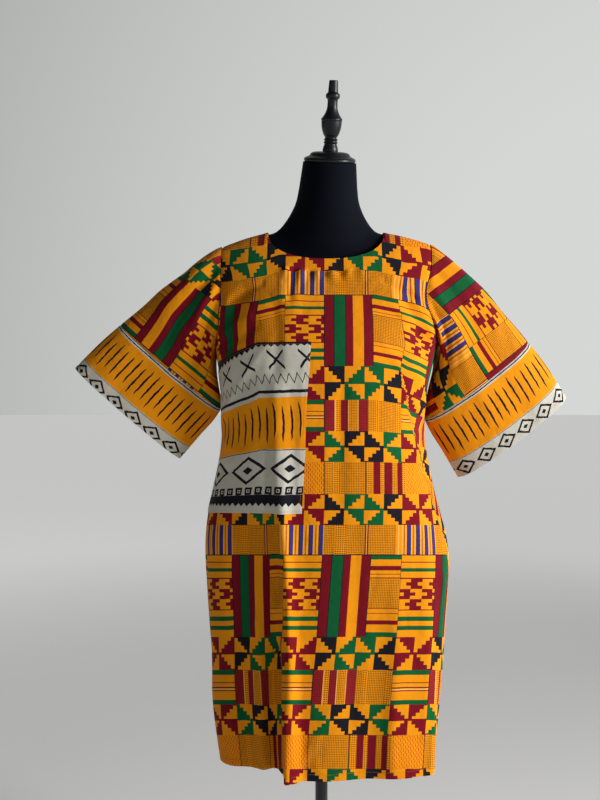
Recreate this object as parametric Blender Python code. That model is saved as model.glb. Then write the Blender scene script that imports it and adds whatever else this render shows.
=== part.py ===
"""A pull-on shirt dress of printed cotton, worn by a limbless dress form on a round stand.

Metres, +Z up, and the front faces -Y. The origin is the middle of the stand's underside.
The dress is seven pieces of cloth: front, back, two sleeves, two cuff bands and a patch.
Each is first a grid of points on one face, worked out from the section tables, and then a
wall with that face outside, or inside on a sleeve or a band. The left side is the left of a
viewer who faces the dress.
"""

import math
from collections import namedtuple

import bmesh
import bpy
import numpy as np
from mathutils import Euler, Vector

# Cloth
WALL = 0.0016
SEAM_GAP = 0.0004
BAND_GAP = 0.0007
PATCH_WALL = 0.0012
PATCH_LIFT = 0.0008
HEM_Z = 0.418
UNDERARM_Z = 1.205
PATCH_FOOT_Z = 0.905

# Neck and shoulders: the neck hole is an oval round NECK_X, and the shoulder seams run down to the tips.
NECK_X = 0.0085
NECK_HALF = 0.113
NECK_Z = 1.4375
FRONT_NECK_DROP = 0.0630
BACK_NECK_DROP = 0.020
NECK_SQUARE = 2.3
LEFT_TIP = (-0.1943, 1.4090)
RIGHT_TIP = (0.2140, 1.4140)
SHOULDER_BOW = 0.0025
SHOULDER_ROLL = 0.100

# The weave's level rows hang lower at the sides than at the middle, most of all at the hips.
SIDE_DROP = 0.016
SIDE_DROP_POWER = 3

# How finely each piece is cut into faces
FRONT_COLUMNS = 36
BACK_COLUMNS = 24
SKIRT_ROWS = 11
WAIST_ROWS = 9
YOKE_ROWS = 12
SLEEVE_AROUND = 2 * YOKE_ROWS
SLEEVE_RINGS = 8
BAND_RINGS = 4
DENSE = 400
LEVELS = 80
CORNER_ROWS = 5
SAME_POINT = 0.000001

# The dress form
TORSO_AROUND = 32
NECK_TOP = (0.0158, -0.0040, 1.5707)
NECK_TOP_RADIUS = 0.0515
NECK_TILT = math.radians(18)
NECK_LEAN = math.radians(2.4)
PART_GAP = 0.0003

# The stand
POLE_RADIUS = 0.012
TORSO_FOOT_Z = 0.800
BASE_RADIUS = 0.170
BASE_HEIGHT = 0.020
SOCKET_RADIUS = 0.024
SOCKET_HEIGHT = 0.048

FRONT, BACK = -1, 1
LEFT, RIGHT = -1, 1

# One row for each level of the body: where its sides are, the y of the side seams, and how far
# the cloth reaches to the front and the back. A corner is 2 for an oval, and more for a boxy section.
Section = namedtuple("Section", "z left right side_y front back left_corner right_corner back_corner")
BODY = (
    Section(0.410, -0.196, 0.2125, -0.006, -0.110, 0.122, 1.75, 3.2, 2.3),
    Section(0.451, -0.202, 0.2165, -0.006, -0.110, 0.125, 1.75, 3.2, 2.3),
    Section(0.534, -0.212, 0.2255, -0.005, -0.110, 0.130, 1.80, 3.0, 2.3),
    Section(0.622, -0.213, 0.2335, -0.003, -0.111, 0.133, 1.90, 2.9, 2.3),
    Section(0.688, -0.218, 0.2375, -0.001, -0.113, 0.135, 2.00, 2.8, 2.3),
    Section(0.751, -0.222, 0.2425, 0.001, -0.115, 0.136, 2.10, 2.7, 2.3),
    Section(0.841, -0.225, 0.2410, 0.003, -0.118, 0.134, 2.20, 2.6, 2.3),
    Section(0.891, -0.220, 0.2300, 0.004, -0.119, 0.130, 2.30, 2.5, 2.3),
    Section(0.939, -0.209, 0.2170, 0.004, -0.120, 0.124, 2.40, 2.5, 2.3),
    Section(1.008, -0.195, 0.2035, 0.004, -0.121, 0.116, 2.50, 2.5, 2.3),
    Section(1.090, -0.1905, 0.1955, 0.005, -0.124, 0.111, 2.50, 2.5, 2.4),
    Section(1.150, -0.197, 0.2080, 0.006, -0.131, 0.112, 2.50, 2.5, 2.4),
    Section(1.205, -0.205, 0.2205, 0.007, -0.133, 0.116, 2.50, 2.5, 2.5),
    Section(1.260, -0.218, 0.2340, 0.008, -0.120, 0.118, 2.50, 2.5, 2.5),
    Section(1.310, -0.226, 0.2420, 0.009, -0.097, 0.117, 2.50, 2.5, 2.5),
    Section(1.350, -0.230, 0.2460, 0.010, -0.074, 0.112, 2.50, 2.5, 2.5),
    Section(1.390, -0.232, 0.2480, 0.010, -0.056, 0.103, 2.50, 2.5, 2.5),
    Section(1.440, -0.232, 0.2480, 0.010, -0.045, 0.090, 2.50, 2.5, 2.5),
)

# The armhole seams, from under the arm to the shoulder tip
Armhole = namedtuple("Armhole", "z left right")
ARMHOLES = (
    Armhole(1.205, -0.2050, 0.2205),
    Armhole(1.245, -0.1950, 0.2125),
    Armhole(1.270, -0.1945, 0.2005),
    Armhole(1.305, -0.1915, 0.1935),
    Armhole(1.360, -0.1925, 0.2080),
    Armhole(1.420, -0.1943, 0.2140),
)

# Each fold is a soft ridge, or a trough where its height is below nought, along a straight line
# on the panel: across is measured round the body from the panel's middle, and width is its spread.
Fold = namedtuple("Fold", "across z height to_across to_z to_height width")
FRONT_FOLDS = (
    Fold(-0.086, 1.150, 0.003, -0.081, 0.400, 0.026, 0.016),
    Fold(-0.104, 0.900, 0.000, -0.120, 0.400, -0.034, 0.020),
    Fold(-0.160, 1.000, 0.000, -0.166, 0.400, -0.022, 0.034),
    Fold(0.180, 0.980, 0.000, 0.186, 0.400, 0.012, 0.018),
    Fold(0.095, 0.900, 0.000, 0.060, 0.400, -0.012, 0.045),
    Fold(0.030, 1.130, -0.003, 0.020, 0.900, -0.002, 0.014),
    Fold(-0.052, 1.350, 0.003, -0.085, 1.200, 0.002, 0.012),
    Fold(0.150, 1.290, -0.007, 0.190, 1.215, -0.010, 0.016),
    Fold(-0.150, 1.300, -0.006, -0.200, 1.220, -0.010, 0.018),
    Fold(0.165, 1.160, 0.004, 0.235, 1.080, 0.009, 0.020),
    Fold(-0.170, 1.170, 0.004, -0.235, 1.080, 0.008, 0.020),
    Fold(0.235, 0.830, 0.007, 0.215, 0.700, 0.000, 0.028),
    Fold(-0.235, 0.850, 0.006, -0.220, 0.700, 0.000, 0.028),
)
BACK_FOLDS = (
    Fold(-0.070, 1.280, 0.000, -0.085, 0.400, 0.014, 0.024),
    Fold(0.085, 1.250, 0.000, 0.070, 0.400, 0.012, 0.026),
    Fold(0.010, 1.150, 0.000, -0.008, 0.400, -0.010, 0.030),
    Fold(-0.160, 1.100, 0.000, -0.165, 0.400, -0.009, 0.026),
    Fold(0.165, 1.100, 0.000, 0.160, 0.400, -0.010, 0.024),
    Fold(0.130, 1.300, -0.006, 0.200, 1.210, -0.008, 0.018),
    Fold(-0.130, 1.300, -0.005, -0.200, 1.210, -0.008, 0.018),
)

# One row for each ring of a sleeve and its band: along is 0 at the armhole, 1 where the band
# begins and 1.5 at the hem. Top and foot are the two edges that the flattened tube turns at.
Ring = namedtuple("Ring", "along top_x top_z foot_x foot_z depth bulge")
BAND_START = 1.0
BAND_END = 1.5
RIGHT_SLEEVE = (
    Ring(0.00, 0.2145, 1.4140, 0.2210, 1.2050, 0.125, 0.000),
    Ring(0.20, 0.2550, 1.3800, 0.2225, 1.1860, 0.122, 0.002),
    Ring(0.40, 0.2960, 1.3410, 0.2180, 1.1640, 0.117, 0.004),
    Ring(0.60, 0.3290, 1.3030, 0.2105, 1.1370, 0.108, 0.006),
    Ring(0.80, 0.3640, 1.2640, 0.2040, 1.1060, 0.096, 0.008),
    Ring(1.00, 0.3990, 1.2230, 0.2010, 1.0740, 0.084, 0.010),
    Ring(1.25, 0.4365, 1.1740, 0.2330, 1.0180, 0.072, 0.009),
    Ring(1.50, 0.4740, 1.1155, 0.2666, 0.9610, 0.060, 0.008),
)
LEFT_SLEEVE = (
    Ring(0.00, -0.1945, 1.4090, -0.2055, 1.2050, 0.125, 0.000),
    Ring(0.20, -0.2330, 1.3860, -0.2075, 1.1870, 0.122, 0.000),
    Ring(0.40, -0.2710, 1.3520, -0.2060, 1.1670, 0.117, 0.000),
    Ring(0.60, -0.3090, 1.3240, -0.2025, 1.1440, 0.108, 0.002),
    Ring(0.80, -0.3480, 1.2880, -0.1985, 1.1200, 0.095, 0.004),
    Ring(1.00, -0.3885, 1.2555, -0.1960, 1.0930, 0.080, 0.005),
    Ring(1.25, -0.4330, 1.2160, -0.2345, 1.0460, 0.068, 0.004),
    Ring(1.50, -0.4775, 1.1714, -0.2761, 0.9974, 0.057, 0.002),
)
# How much of the armhole's own shape the sleeve keeps, ring by ring
ARMHOLE_SHARE = (1.0, 0.72, 0.45, 0.22, 0.08)

# One row for each ring of the torso. Its sides may stand higher than its middle, over the shoulders,
# and slope is how much it drops to the front.
Torso = namedtuple("Torso", "middle_x side_z middle_z half_width front back corner slope")
TORSO = (
    Torso(0.000, 0.800, 0.800, 0.128, -0.070, 0.080, 2.3, 0.0),
    Torso(0.000, 0.806, 0.806, 0.140, -0.080, 0.092, 2.3, 0.0),
    Torso(0.001, 0.860, 0.860, 0.160, -0.090, 0.106, 2.3, 0.0),
    Torso(0.002, 0.920, 0.920, 0.158, -0.090, 0.104, 2.3, 0.0),
    Torso(0.003, 0.980, 0.980, 0.138, -0.084, 0.090, 2.2, 0.0),
    Torso(0.004, 1.040, 1.040, 0.119, -0.080, 0.078, 2.2, 0.0),
    Torso(0.005, 1.090, 1.090, 0.124, -0.090, 0.078, 2.2, 0.0),
    Torso(0.006, 1.140, 1.140, 0.141, -0.112, 0.084, 2.2, 0.0),
    Torso(0.007, 1.180, 1.180, 0.150, -0.119, 0.090, 2.2, 0.0),
    Torso(0.008, 1.220, 1.220, 0.155, -0.114, 0.096, 2.2, 0.0),
    Torso(0.008, 1.270, 1.265, 0.159, -0.096, 0.100, 2.3, 0.0),
    Torso(0.009, 1.320, 1.305, 0.165, -0.076, 0.098, 2.3, 0.0),
    Torso(0.009, 1.360, 1.335, 0.169, -0.062, 0.092, 2.3, 0.0),
    Torso(0.009, 1.388, 1.352, 0.168, -0.052, 0.084, 2.2, 0.0),
    Torso(0.009, 1.4103, 1.365, 0.162, -0.047, 0.077, 2.1, 0.0),
    Torso(0.009, 1.4227, 1.376, 0.146, -0.041, 0.067, 2.0, 0.0),
    Torso(0.009, 1.4309, 1.388, 0.123, -0.041, 0.065, 2.0, 0.05),
    Torso(0.009, 1.4390, 1.405, 0.0965, -0.045, 0.066, 2.0, 0.10),
    Torso(0.010, 1.4620, 1.440, 0.0765, -0.050, 0.062, 2.0, 0.16),
    Torso(0.0115, 1.4920, 1.480, 0.0620, -0.0535, 0.058, 2.0, 0.22),
    Torso(0.0130, 1.5220, 1.517, 0.0565, -0.0550, 0.053, 2.0, 0.27),
)

# Turned pieces, as height above their seat and radius
CAP_PROFILE = (
    (0.0000, 0.0440), (0.0003, 0.0480), (0.0025, 0.0500), (0.0060, 0.0498),
    (0.0085, 0.0470), (0.0105, 0.0420), (0.0125, 0.0392), (0.0160, 0.0370), (0.0185, 0.0318), (0.0195, 0.0250),
)
FINIAL_SEAT = 0.0198
FINIAL_PROFILE = (
    (0.0000, 0.0148), (0.0035, 0.0150), (0.0085, 0.0138), (0.0130, 0.0122), (0.0150, 0.0124),
    (0.0168, 0.0138), (0.0184, 0.0122), (0.0202, 0.0122), (0.0220, 0.0138), (0.0238, 0.0118),
    (0.0262, 0.0114), (0.0310, 0.0144), (0.0370, 0.0168), (0.0440, 0.0186), (0.0510, 0.0194),
    (0.0562, 0.0196), (0.0575, 0.0202), (0.0600, 0.0202), (0.0618, 0.0186), (0.0670, 0.0150),
    (0.0730, 0.0120), (0.0800, 0.0100), (0.0880, 0.0096), (0.0945, 0.0100), (0.0975, 0.0128),
    (0.1010, 0.0134), (0.1045, 0.0128), (0.1075, 0.0098), (0.1130, 0.0092), (0.1270, 0.0084), (0.1290, 0.0074),
)
BASE_PROFILE = (
    (0.000, BASE_RADIUS - 0.004), (0.003, BASE_RADIUS), (0.011, BASE_RADIUS),
    (0.016, BASE_RADIUS - 0.004), (BASE_HEIGHT, BASE_RADIUS - 0.014),
    (BASE_HEIGHT + 0.003, 0.075), (BASE_HEIGHT + 0.006, 0.040),
    (BASE_HEIGHT + 0.012, SOCKET_RADIUS + 0.003), (SOCKET_HEIGHT - 0.004, SOCKET_RADIUS),
    (SOCKET_HEIGHT, SOCKET_RADIUS - 0.003),
)
CAP_SIDES = 32
FINIAL_SIDES = 20
BASE_SIDES = 48
POLE_SIDES = 24

# The patch, in columns and rows of the front panel's grid
PATCH_LEFT = 0.25
PATCH_LAST_COLUMN = 15
PATCH_RIGHT_FOOT = 15.2
PATCH_RIGHT_TOP = 16.2
PATCH_LEFT_TOP_Z = 1.156
PATCH_SLOPE_END = 10
PATCH_RIGHT_TOP_Z = 1.213

# Colours as the eye sees them, then roughness and metallic
Finish = namedtuple("Finish", "colour roughness metallic")
KENTE = Finish((0.93, 0.58, 0.06), 0.75, 0.0)
BORDER = Finish((0.78, 0.77, 0.70), 0.75, 0.0)
JERSEY = Finish((0.010, 0.010, 0.014), 0.90, 0.0)
LACQUER = Finish((0.012, 0.012, 0.013), 0.28, 0.0)
STEEL = Finish((0.020, 0.020, 0.022), 0.35, 0.8)


def follow(table, place):
    """The table's row at this place in its first column, on a smooth curve through its rows."""
    rows = np.array(table, dtype=float)
    keys = rows[:, 0]
    slopes = np.gradient(rows, keys, axis=0)
    i = int(np.clip(np.searchsorted(keys, place) - 1, 0, len(keys) - 2))
    span = keys[i + 1] - keys[i]
    t = min(max((place - keys[i]) / span, 0.0), 1.0)
    rise = t * t * (3 - 2 * t)
    start = t * (1 - t) ** 2 * span
    end = t * t * (t - 1) * span
    return type(table[0])(*((1 - rise) * rows[i] + rise * rows[i + 1] + start * slopes[i] + end * slopes[i + 1]))


def evenly(points, count):
    """The line through these points, cut into this many equal lengths."""
    points = np.asarray(points, dtype=float)
    steps = np.linalg.norm(np.diff(points, axis=0), axis=1)
    run = np.concatenate(([0.0], np.cumsum(steps)))
    marks = np.linspace(0.0, run[-1], count + 1)
    return np.stack([np.interp(marks, run, points[:, k]) for k in range(3)], axis=1)


def superellipse(x, square):
    """The height of a rounded box of half width 1 at x."""
    return max(0.0, 1.0 - min(1.0, abs(x)) ** square) ** (1.0 / square)


def shoulder_seam_z(x):
    """The height of the shoulder seam at x; nearer the middle it runs on at the same slope."""
    tip_x, tip_z = RIGHT_TIP if x > NECK_X else LEFT_TIP
    share = (abs(tip_x - NECK_X) - abs(x - NECK_X)) / (abs(tip_x - NECK_X) - NECK_HALF)
    bow = 4 * SHOULDER_BOW * max(0.0, share * (1 - share))
    return tip_z + (NECK_Z - tip_z) * share + bow


def reach_and_corner(s, x, face):
    """How far the section reaches on this face, and how boxy it is on this side of its middle."""
    if face == BACK:
        return s.back, s.back_corner
    return s.front, (s.right_corner if x > (s.left + s.right) / 2 else s.left_corner)


def cloth_y(x, z, face):
    """The y of the dress at this x and z, on its front or back face."""
    s = follow(BODY, z)
    middle, half = (s.left + s.right) / 2, (s.right - s.left) / 2
    reach, corner = reach_and_corner(s, x, face)
    below_seam = min(1.0, max(0.0, (shoulder_seam_z(x) - z) / SHOULDER_ROLL))
    roll = math.sqrt(1.0 - (1.0 - below_seam) ** 2)
    return s.side_y + (reach - s.side_y) * superellipse((x - middle) / half, corner) * roll


def body_line(z, face, columns):
    """Even points round one face of the body at this height, from its left side to its right."""
    s = follow(BODY, z)
    middle, half = (s.left + s.right) / 2, (s.right - s.left) / 2
    line = []
    for angle in np.linspace(-math.pi / 2, math.pi / 2, DENSE + 1):
        reach, corner = reach_and_corner(s, middle + half * angle, face)
        across = math.copysign(abs(math.sin(angle)) ** (2 / corner), angle)
        out = max(0.0, math.cos(angle)) ** (2 / corner)
        line.append((middle + half * across, s.side_y + (reach - s.side_y) * out, z))
    return evenly(line, columns)


def top_edge(share, face):
    """The x and z of the panel's top edge: share runs from -1 at the left shoulder tip to 1 at the right."""
    if abs(share) <= 0.5:
        across = math.sin(share * math.pi)
        drop = FRONT_NECK_DROP if face == FRONT else BACK_NECK_DROP
        return NECK_X + NECK_HALF * across, NECK_Z - drop * superellipse(across, NECK_SQUARE)
    tip_x = (RIGHT_TIP if share > 0 else LEFT_TIP)[0]
    neck_x = NECK_X + math.copysign(NECK_HALF, share)
    x = neck_x + (tip_x - neck_x) * (2 * abs(share) - 1)
    return x, shoulder_seam_z(x)


def yoke_line(share, start_x, face):
    """One column of a panel, from under the arm up to its top edge."""
    end_x, end_z = top_edge(share, face)
    start_arm, end_arm = (follow(ARMHOLES, z) for z in (UNDERARM_Z, ARMHOLES[-1].z))
    pick = (lambda row: row.right) if share > 0 else (lambda row: row.left)
    low = (start_x - NECK_X) / (pick(start_arm) - NECK_X)
    high = (end_x - NECK_X) / (pick(end_arm) - NECK_X)
    tip_z = RIGHT_TIP[1] if share > 0 else LEFT_TIP[1]
    line = []
    for turn in np.linspace(0, math.pi / 2, DENSE // 4 + 1):
        up = math.sin(turn)
        z = UNDERARM_Z + (end_z - UNDERARM_Z) * up
        arm = pick(follow(ARMHOLES, UNDERARM_Z + (tip_z - UNDERARM_Z) * up))
        x = NECK_X + (arm - NECK_X) * (low + (high - low) * up)
        line.append((x, cloth_y(x, z, face), z))
    return evenly(line, YOKE_ROWS)


def face_out(grid, face):
    """The outward direction at each point of a panel's grid; at the side and shoulder seams it has no y."""
    along = np.gradient(grid, axis=0)
    across = np.gradient(grid, axis=1)
    out = np.cross(across, along)
    rows, columns = grid.shape[:2]
    seam = np.zeros((rows, columns), dtype=bool)
    seam[: rows - YOKE_ROWS, [0, -1]] = True
    quarter = (columns - 1) // 4
    seam[-1, : quarter + 1] = True
    seam[-1, -quarter - 1 :] = True
    if face == BACK:
        out = -out
    out /= np.linalg.norm(out, axis=2, keepdims=True)
    corner = rows - 1 - YOKE_ROWS
    for j in (0, 1, 2, -3, -2, -1):
        for i in range(1, CORNER_ROWS):
            turn = i / CORNER_ROWS
            out[corner + i, j] = out[corner, j] * (1 - turn) + out[corner + CORNER_ROWS, j] * turn
    out[seam, 1] = 0.0
    return out / np.linalg.norm(out, axis=2, keepdims=True)


def fold_height(folds, across, z):
    """How far the folds push the cloth out at these places on a panel."""
    height = np.zeros_like(z)
    for f in folds:
        run = (f.to_across - f.across, f.to_z - f.z)
        t = ((across - f.across) * run[0] + (z - f.z) * run[1]) / (run[0] ** 2 + run[1] ** 2)
        t = np.clip(t, 0.0, 1.0)
        away = np.hypot(across - f.across - t * run[0], z - f.z - t * run[1])
        height += (f.height + (f.to_height - f.height) * t) * np.exp(-((away / f.width) ** 2))
    return height


def panel_grid(face, columns, folds):
    """The outer face of the front or the back, row by row from the hem, and its outward directions."""
    levels = np.concatenate((
        np.linspace(HEM_Z, PATCH_FOOT_Z, SKIRT_ROWS + 1)[:-1],
        np.linspace(PATCH_FOOT_Z, UNDERARM_Z, WAIST_ROWS + 1),
    ))
    shares = np.linspace(-1, 1, columns + 1)
    drops = SIDE_DROP * np.abs(shares) ** SIDE_DROP_POWER
    fine_z = np.linspace(HEM_Z, UNDERARM_Z, LEVELS + 1)
    fine = np.array([body_line(z, face, columns) for z in fine_z])
    skirt = []
    for z in levels:
        hips = math.sin(math.pi * (z - HEM_Z) / (UNDERARM_Z - HEM_Z)) ** 2
        row = [[np.interp(z - drop * hips, fine_z, fine[:, j, k]) for k in range(3)] for j, drop in enumerate(drops)]
        skirt.append(np.array(row))
    yoke = [yoke_line(share, start[0], face) for share, start in zip(shares, skirt[-1])]
    grid = np.array(skirt + [[column[k] for column in yoke] for k in range(1, YOKE_ROWS + 1)])
    quarter = columns // 4
    grid[:, [0, -1], 1] += face * SEAM_GAP / 2
    grid[-1, 1 : quarter + 1, 1] += face * SEAM_GAP / 2
    grid[-1, -quarter - 1 : -1, 1] += face * SEAM_GAP / 2
    lengths = np.linalg.norm(np.diff(grid, axis=1), axis=2).sum(axis=1)
    push = fold_height(folds, np.outer(lengths / 2, shares), grid[:, :, 2]) * (1 - shares ** 8)
    grid += face_out(grid, face) * push[:, :, None]
    return grid, face_out(grid, face)


def armhole_loop(front, back, side):
    """The armhole seam, from the shoulder tip down the front, under the arm and up the back."""
    column = -1 if side == RIGHT else 0
    down = front[-YOKE_ROWS - 1 :, column][::-1].copy()
    up = back[-YOKE_ROWS - 1 :, column].copy()
    down[0] = (down[0] + up[-1]) / 2
    up[0] = (down[-1] + up[0]) / 2
    loop = np.concatenate((down[:-1], up[:-1]))
    loop[:, 0] += side * SEAM_GAP
    return loop


def tube_axes(ring):
    """The middle of a sleeve ring, the vector from there to its top edge, and the way the sleeve runs on."""
    middle = np.array(((ring.top_x + ring.foot_x) / 2, 0.0, (ring.top_z + ring.foot_z) / 2))
    rise = np.array(((ring.top_x - ring.foot_x) / 2, 0.0, (ring.top_z - ring.foot_z) / 2))
    onward = np.array((rise[2], 0.0, -rise[0])) / np.linalg.norm(rise)
    return middle, rise, onward


def oval_ring(ring, side):
    """Even steps round one sleeve ring, from its top edge down the front and up the back."""
    middle, rise, onward = tube_axes(ring)
    half = SLEEVE_AROUND // 2
    lines = []
    for face, angles in ((FRONT, (0, math.pi)), (BACK, (math.pi, 0))):
        line = []
        for angle in np.linspace(*angles, DENSE // 4 + 1):
            up, out = math.cos(angle), math.sin(angle)
            point = middle + rise * up + side * onward * ring.bulge * out
            line.append(point + np.array((0.0, face * ring.depth / 2 * out ** 0.9, 0.0)))
        lines.append(evenly(line, half)[:-1])
    return np.concatenate(lines)


def sleeve_rings(table, loop, side, start, end, count):
    """The inner face of a sleeve or a band, ring by ring away from the shoulder, and its inward directions."""
    first_middle, first_rise, first_onward = tube_axes(table[0])
    local = loop - first_middle
    up = local @ first_rise / (first_rise @ first_rise)
    onward = local @ first_onward
    rings = []
    for k, along in enumerate(np.linspace(start, end, count + 1)):
        ring = follow(table, along)
        oval = oval_ring(ring, side)
        share = ARMHOLE_SHARE[k] if start == 0 and k < len(ARMHOLE_SHARE) else 0.0
        middle, rise, run = tube_axes(ring)
        carried = middle + np.outer(up, rise) + np.outer(onward, run)
        carried[:, 1] = loop[:, 1] * ring.depth / table[0].depth
        rings.append(oval * (1 - share) + carried * share)
    rings = np.array(rings)
    if start == 0:
        rings[0] = loop
    wrapped = np.concatenate((rings[:, -1:], rings, rings[:, :1]), axis=1)
    inward = side * np.cross(np.gradient(rings, axis=0), np.gradient(wrapped, axis=1)[:, 1:-1])
    inward /= np.linalg.norm(inward, axis=2, keepdims=True)
    return rings, inward


def new_object(name, points, faces, finish):
    """One closed body with its faces outwards, as an object with its own material."""
    mesh = bpy.data.meshes.new(name)
    body = bmesh.new()
    corners = [body.verts.new(tuple(p)) for p in points]
    for face in faces:
        body.faces.new([corners[i] for i in face])
    bmesh.ops.remove_doubles(body, verts=body.verts[:], dist=SAME_POINT)
    bmesh.ops.triangulate(body, faces=body.faces[:], quad_method="FIXED")
    if body.calc_volume(signed=True) < 0:
        bmesh.ops.reverse_faces(body, faces=body.faces[:])
    body.to_mesh(mesh)
    body.free()
    material = bpy.data.materials.new(name)
    material.use_nodes = True
    shader = material.node_tree.nodes["Principled BSDF"]
    shader.inputs["Base Color"].default_value = (*finish.colour, 1.0)
    shader.inputs["Roughness"].default_value = finish.roughness
    shader.inputs["Metallic"].default_value = finish.metallic
    mesh.materials.append(material)
    mesh.shade_smooth()
    mesh.set_sharp_from_angle(angle=math.radians(40))
    thing = bpy.data.objects.new(name, mesh)
    bpy.context.scene.collection.objects.link(thing)
    return thing


def halves(points, a, b, c, d):
    """A cell's two triangles, cut from a to c, or from b to d where that cut would fold them together."""
    pa, pb, pc, pd = points[a], points[b], points[c], points[d]
    if np.cross(pb - pa, pc - pa) @ np.cross(pc - pa, pd - pa) >= 0:
        return (a, b, c), (a, c, d)
    return (a, b, d), (b, c, d)


def cloth_wall(name, face, other, finish, tube=False):
    """A closed wall between the grids of its two faces; a tube's grids join up at their last column."""
    rows, columns = face.shape[:2]
    around = columns if tube else columns - 1
    points = np.concatenate((face.reshape(-1, 3), other.reshape(-1, 3)))
    under = rows * columns
    faces = []
    for i in range(rows - 1):
        for j in range(around):
            a, b = i * columns + j, i * columns + (j + 1) % columns
            c, d = b + columns, a + columns
            for half in halves(points, a, b, c, d):
                faces.append(half)
                faces.append(tuple(under + corner for corner in half[::-1]))
    for i, turn in ((0, 1), (rows - 1, -1)):
        for j in range(around):
            a, b = i * columns + j, i * columns + (j + 1) % columns
            faces.append((b, a, under + a, under + b)[::turn])
    if not tube:
        for j, turn in ((0, -1), (columns - 1, 1)):
            for i in range(rows - 1):
                a, d = i * columns + j, (i + 1) * columns + j
                faces.append((d, a, under + a, under + d)[::turn])
    return new_object(name, points, faces, finish)


def make_panels():
    """The front and the back, which meet at the side seams and the shoulder seams."""
    front, front_out = panel_grid(FRONT, FRONT_COLUMNS, FRONT_FOLDS)
    back, back_out = panel_grid(BACK, BACK_COLUMNS, BACK_FOLDS)
    cloth_wall("front_panel", front, front - WALL * front_out, KENTE)
    cloth_wall("back_panel", back, back - WALL * back_out, KENTE)
    return front, front_out, back


def make_sleeve(word, side, table, front, back):
    """One sleeve from the armhole seam to the band, then its band down to the hem."""
    loop = armhole_loop(front, back, side)
    sleeve, inward = sleeve_rings(table, loop, side, 0.0, BAND_START, SLEEVE_RINGS)
    out = -inward
    out[0, :, 0] = side * np.maximum(0.0, side * out[0, :, 0])
    out /= np.linalg.norm(out, axis=2, keepdims=True)
    cloth_wall(word + "_sleeve", sleeve, sleeve + WALL * out, KENTE, tube=True)
    band, inward = sleeve_rings(table, loop, side, BAND_START, BAND_END, BAND_RINGS)
    onward = tube_axes(follow(table, BAND_START))[2] * side
    band[0] = sleeve[-1] + BAND_GAP * onward
    inward[0] = -out[-1]
    cloth_wall(word + "_cuff_band", band, band - WALL * inward, BORDER, tube=True)


def grid_at(grid, row, column):
    """A point of the grid between its rows and columns."""
    i, j = min(int(row), grid.shape[0] - 2), min(int(column), grid.shape[1] - 2)
    u, v = row - i, column - j
    return (
        grid[i, j] * (1 - u) * (1 - v) + grid[i + 1, j] * u * (1 - v)
        + grid[i, j + 1] * (1 - u) * v + grid[i + 1, j + 1] * u * v
    )


def row_at(grid, column, z):
    """The row of the grid, with its fraction, that stands at this height in this column."""
    heights = [grid_at(grid, i, column)[2] for i in range(grid.shape[0])]
    return float(np.interp(z, heights, range(len(heights))))


def make_patch(front, front_out):
    """The patch lies on the front from its side seam, on the front's own points moved out."""
    columns = [PATCH_LEFT] + list(range(1, PATCH_LAST_COLUMN + 1)) + [None]
    tops = []
    for column in columns:
        at = PATCH_RIGHT_TOP if column is None else column
        slope = min(1.0, at / PATCH_SLOPE_END)
        z = PATCH_LEFT_TOP_Z + (PATCH_RIGHT_TOP_Z - PATCH_LEFT_TOP_Z) * slope
        tops.append(row_at(front, at, z))
    foot = SKIRT_ROWS
    outer, inner = [], []
    for row in list(range(foot, int(max(tops)) + 1)) + [math.inf]:
        outer_row, inner_row = [], []
        for column, top in zip(columns, tops):
            i = min(row, top)
            up = (i - foot) / (tops[-1] - foot)
            j = PATCH_RIGHT_FOOT + (PATCH_RIGHT_TOP - PATCH_RIGHT_FOOT) * up if column is None else column
            point, out = grid_at(front, i, j), grid_at(front_out, i, j)
            inner_row.append(point + PATCH_LIFT * out)
            outer_row.append(point + (PATCH_LIFT + PATCH_WALL) * out)
        outer.append(outer_row)
        inner.append(inner_row)
    cloth_wall("front_patch", np.array(outer), np.array(inner), BORDER)


def torso_ring(ring):
    """One closed ring of the torso, from its left side round the front to the back."""
    points = []
    power = 2 / ring.corner
    for step in range(TORSO_AROUND):
        angle = math.pi + 2 * math.pi * step / TORSO_AROUND
        across = math.copysign(abs(math.cos(angle)) ** power, math.cos(angle))
        out = math.copysign(abs(math.sin(angle)) ** power, math.sin(angle))
        middle_y = (ring.front + ring.back) / 2
        y = middle_y + (ring.back - ring.front) / 2 * out
        z = ring.middle_z + (ring.side_z - ring.middle_z) * across ** 2 + ring.slope * (y - middle_y)
        points.append((ring.middle_x + ring.half_width * across, y, z))
    return points


def neck_turn():
    """How the neck's top, the cap and the finial are turned."""
    return Euler((NECK_TILT, NECK_LEAN, 0.0)).to_matrix()


def neck_top():
    """The sloping round top of the neck."""
    turn = neck_turn()
    points = []
    for step in range(TORSO_AROUND):
        angle = math.pi + 2 * math.pi * step / TORSO_AROUND
        offset = Vector((math.cos(angle), math.sin(angle), 0.0)) * NECK_TOP_RADIUS
        points.append(np.array(Vector(NECK_TOP) + turn @ offset))
    return points


def make_torso():
    """The padded torso and neck, one smooth closed body."""
    rings = [torso_ring(ring) for ring in TORSO]
    top = neck_top()
    for share in (1 / 3, 2 / 3):
        rings.append([(1 - share) * np.array(p) + share * q for p, q in zip(rings[len(TORSO) - 1], top)])
    rings.append(top)
    points = [p for ring in rings for p in ring]
    faces = []
    for i in range(len(rings) - 1):
        for j in range(TORSO_AROUND):
            a, b = i * TORSO_AROUND + j, i * TORSO_AROUND + (j + 1) % TORSO_AROUND
            faces.append((a, b, b + TORSO_AROUND, a + TORSO_AROUND))
    faces.append(tuple(range(TORSO_AROUND))[::-1])
    last = (len(rings) - 1) * TORSO_AROUND
    faces.append(tuple(range(last, last + TORSO_AROUND)))
    new_object("form_torso", points, faces, JERSEY)


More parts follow.
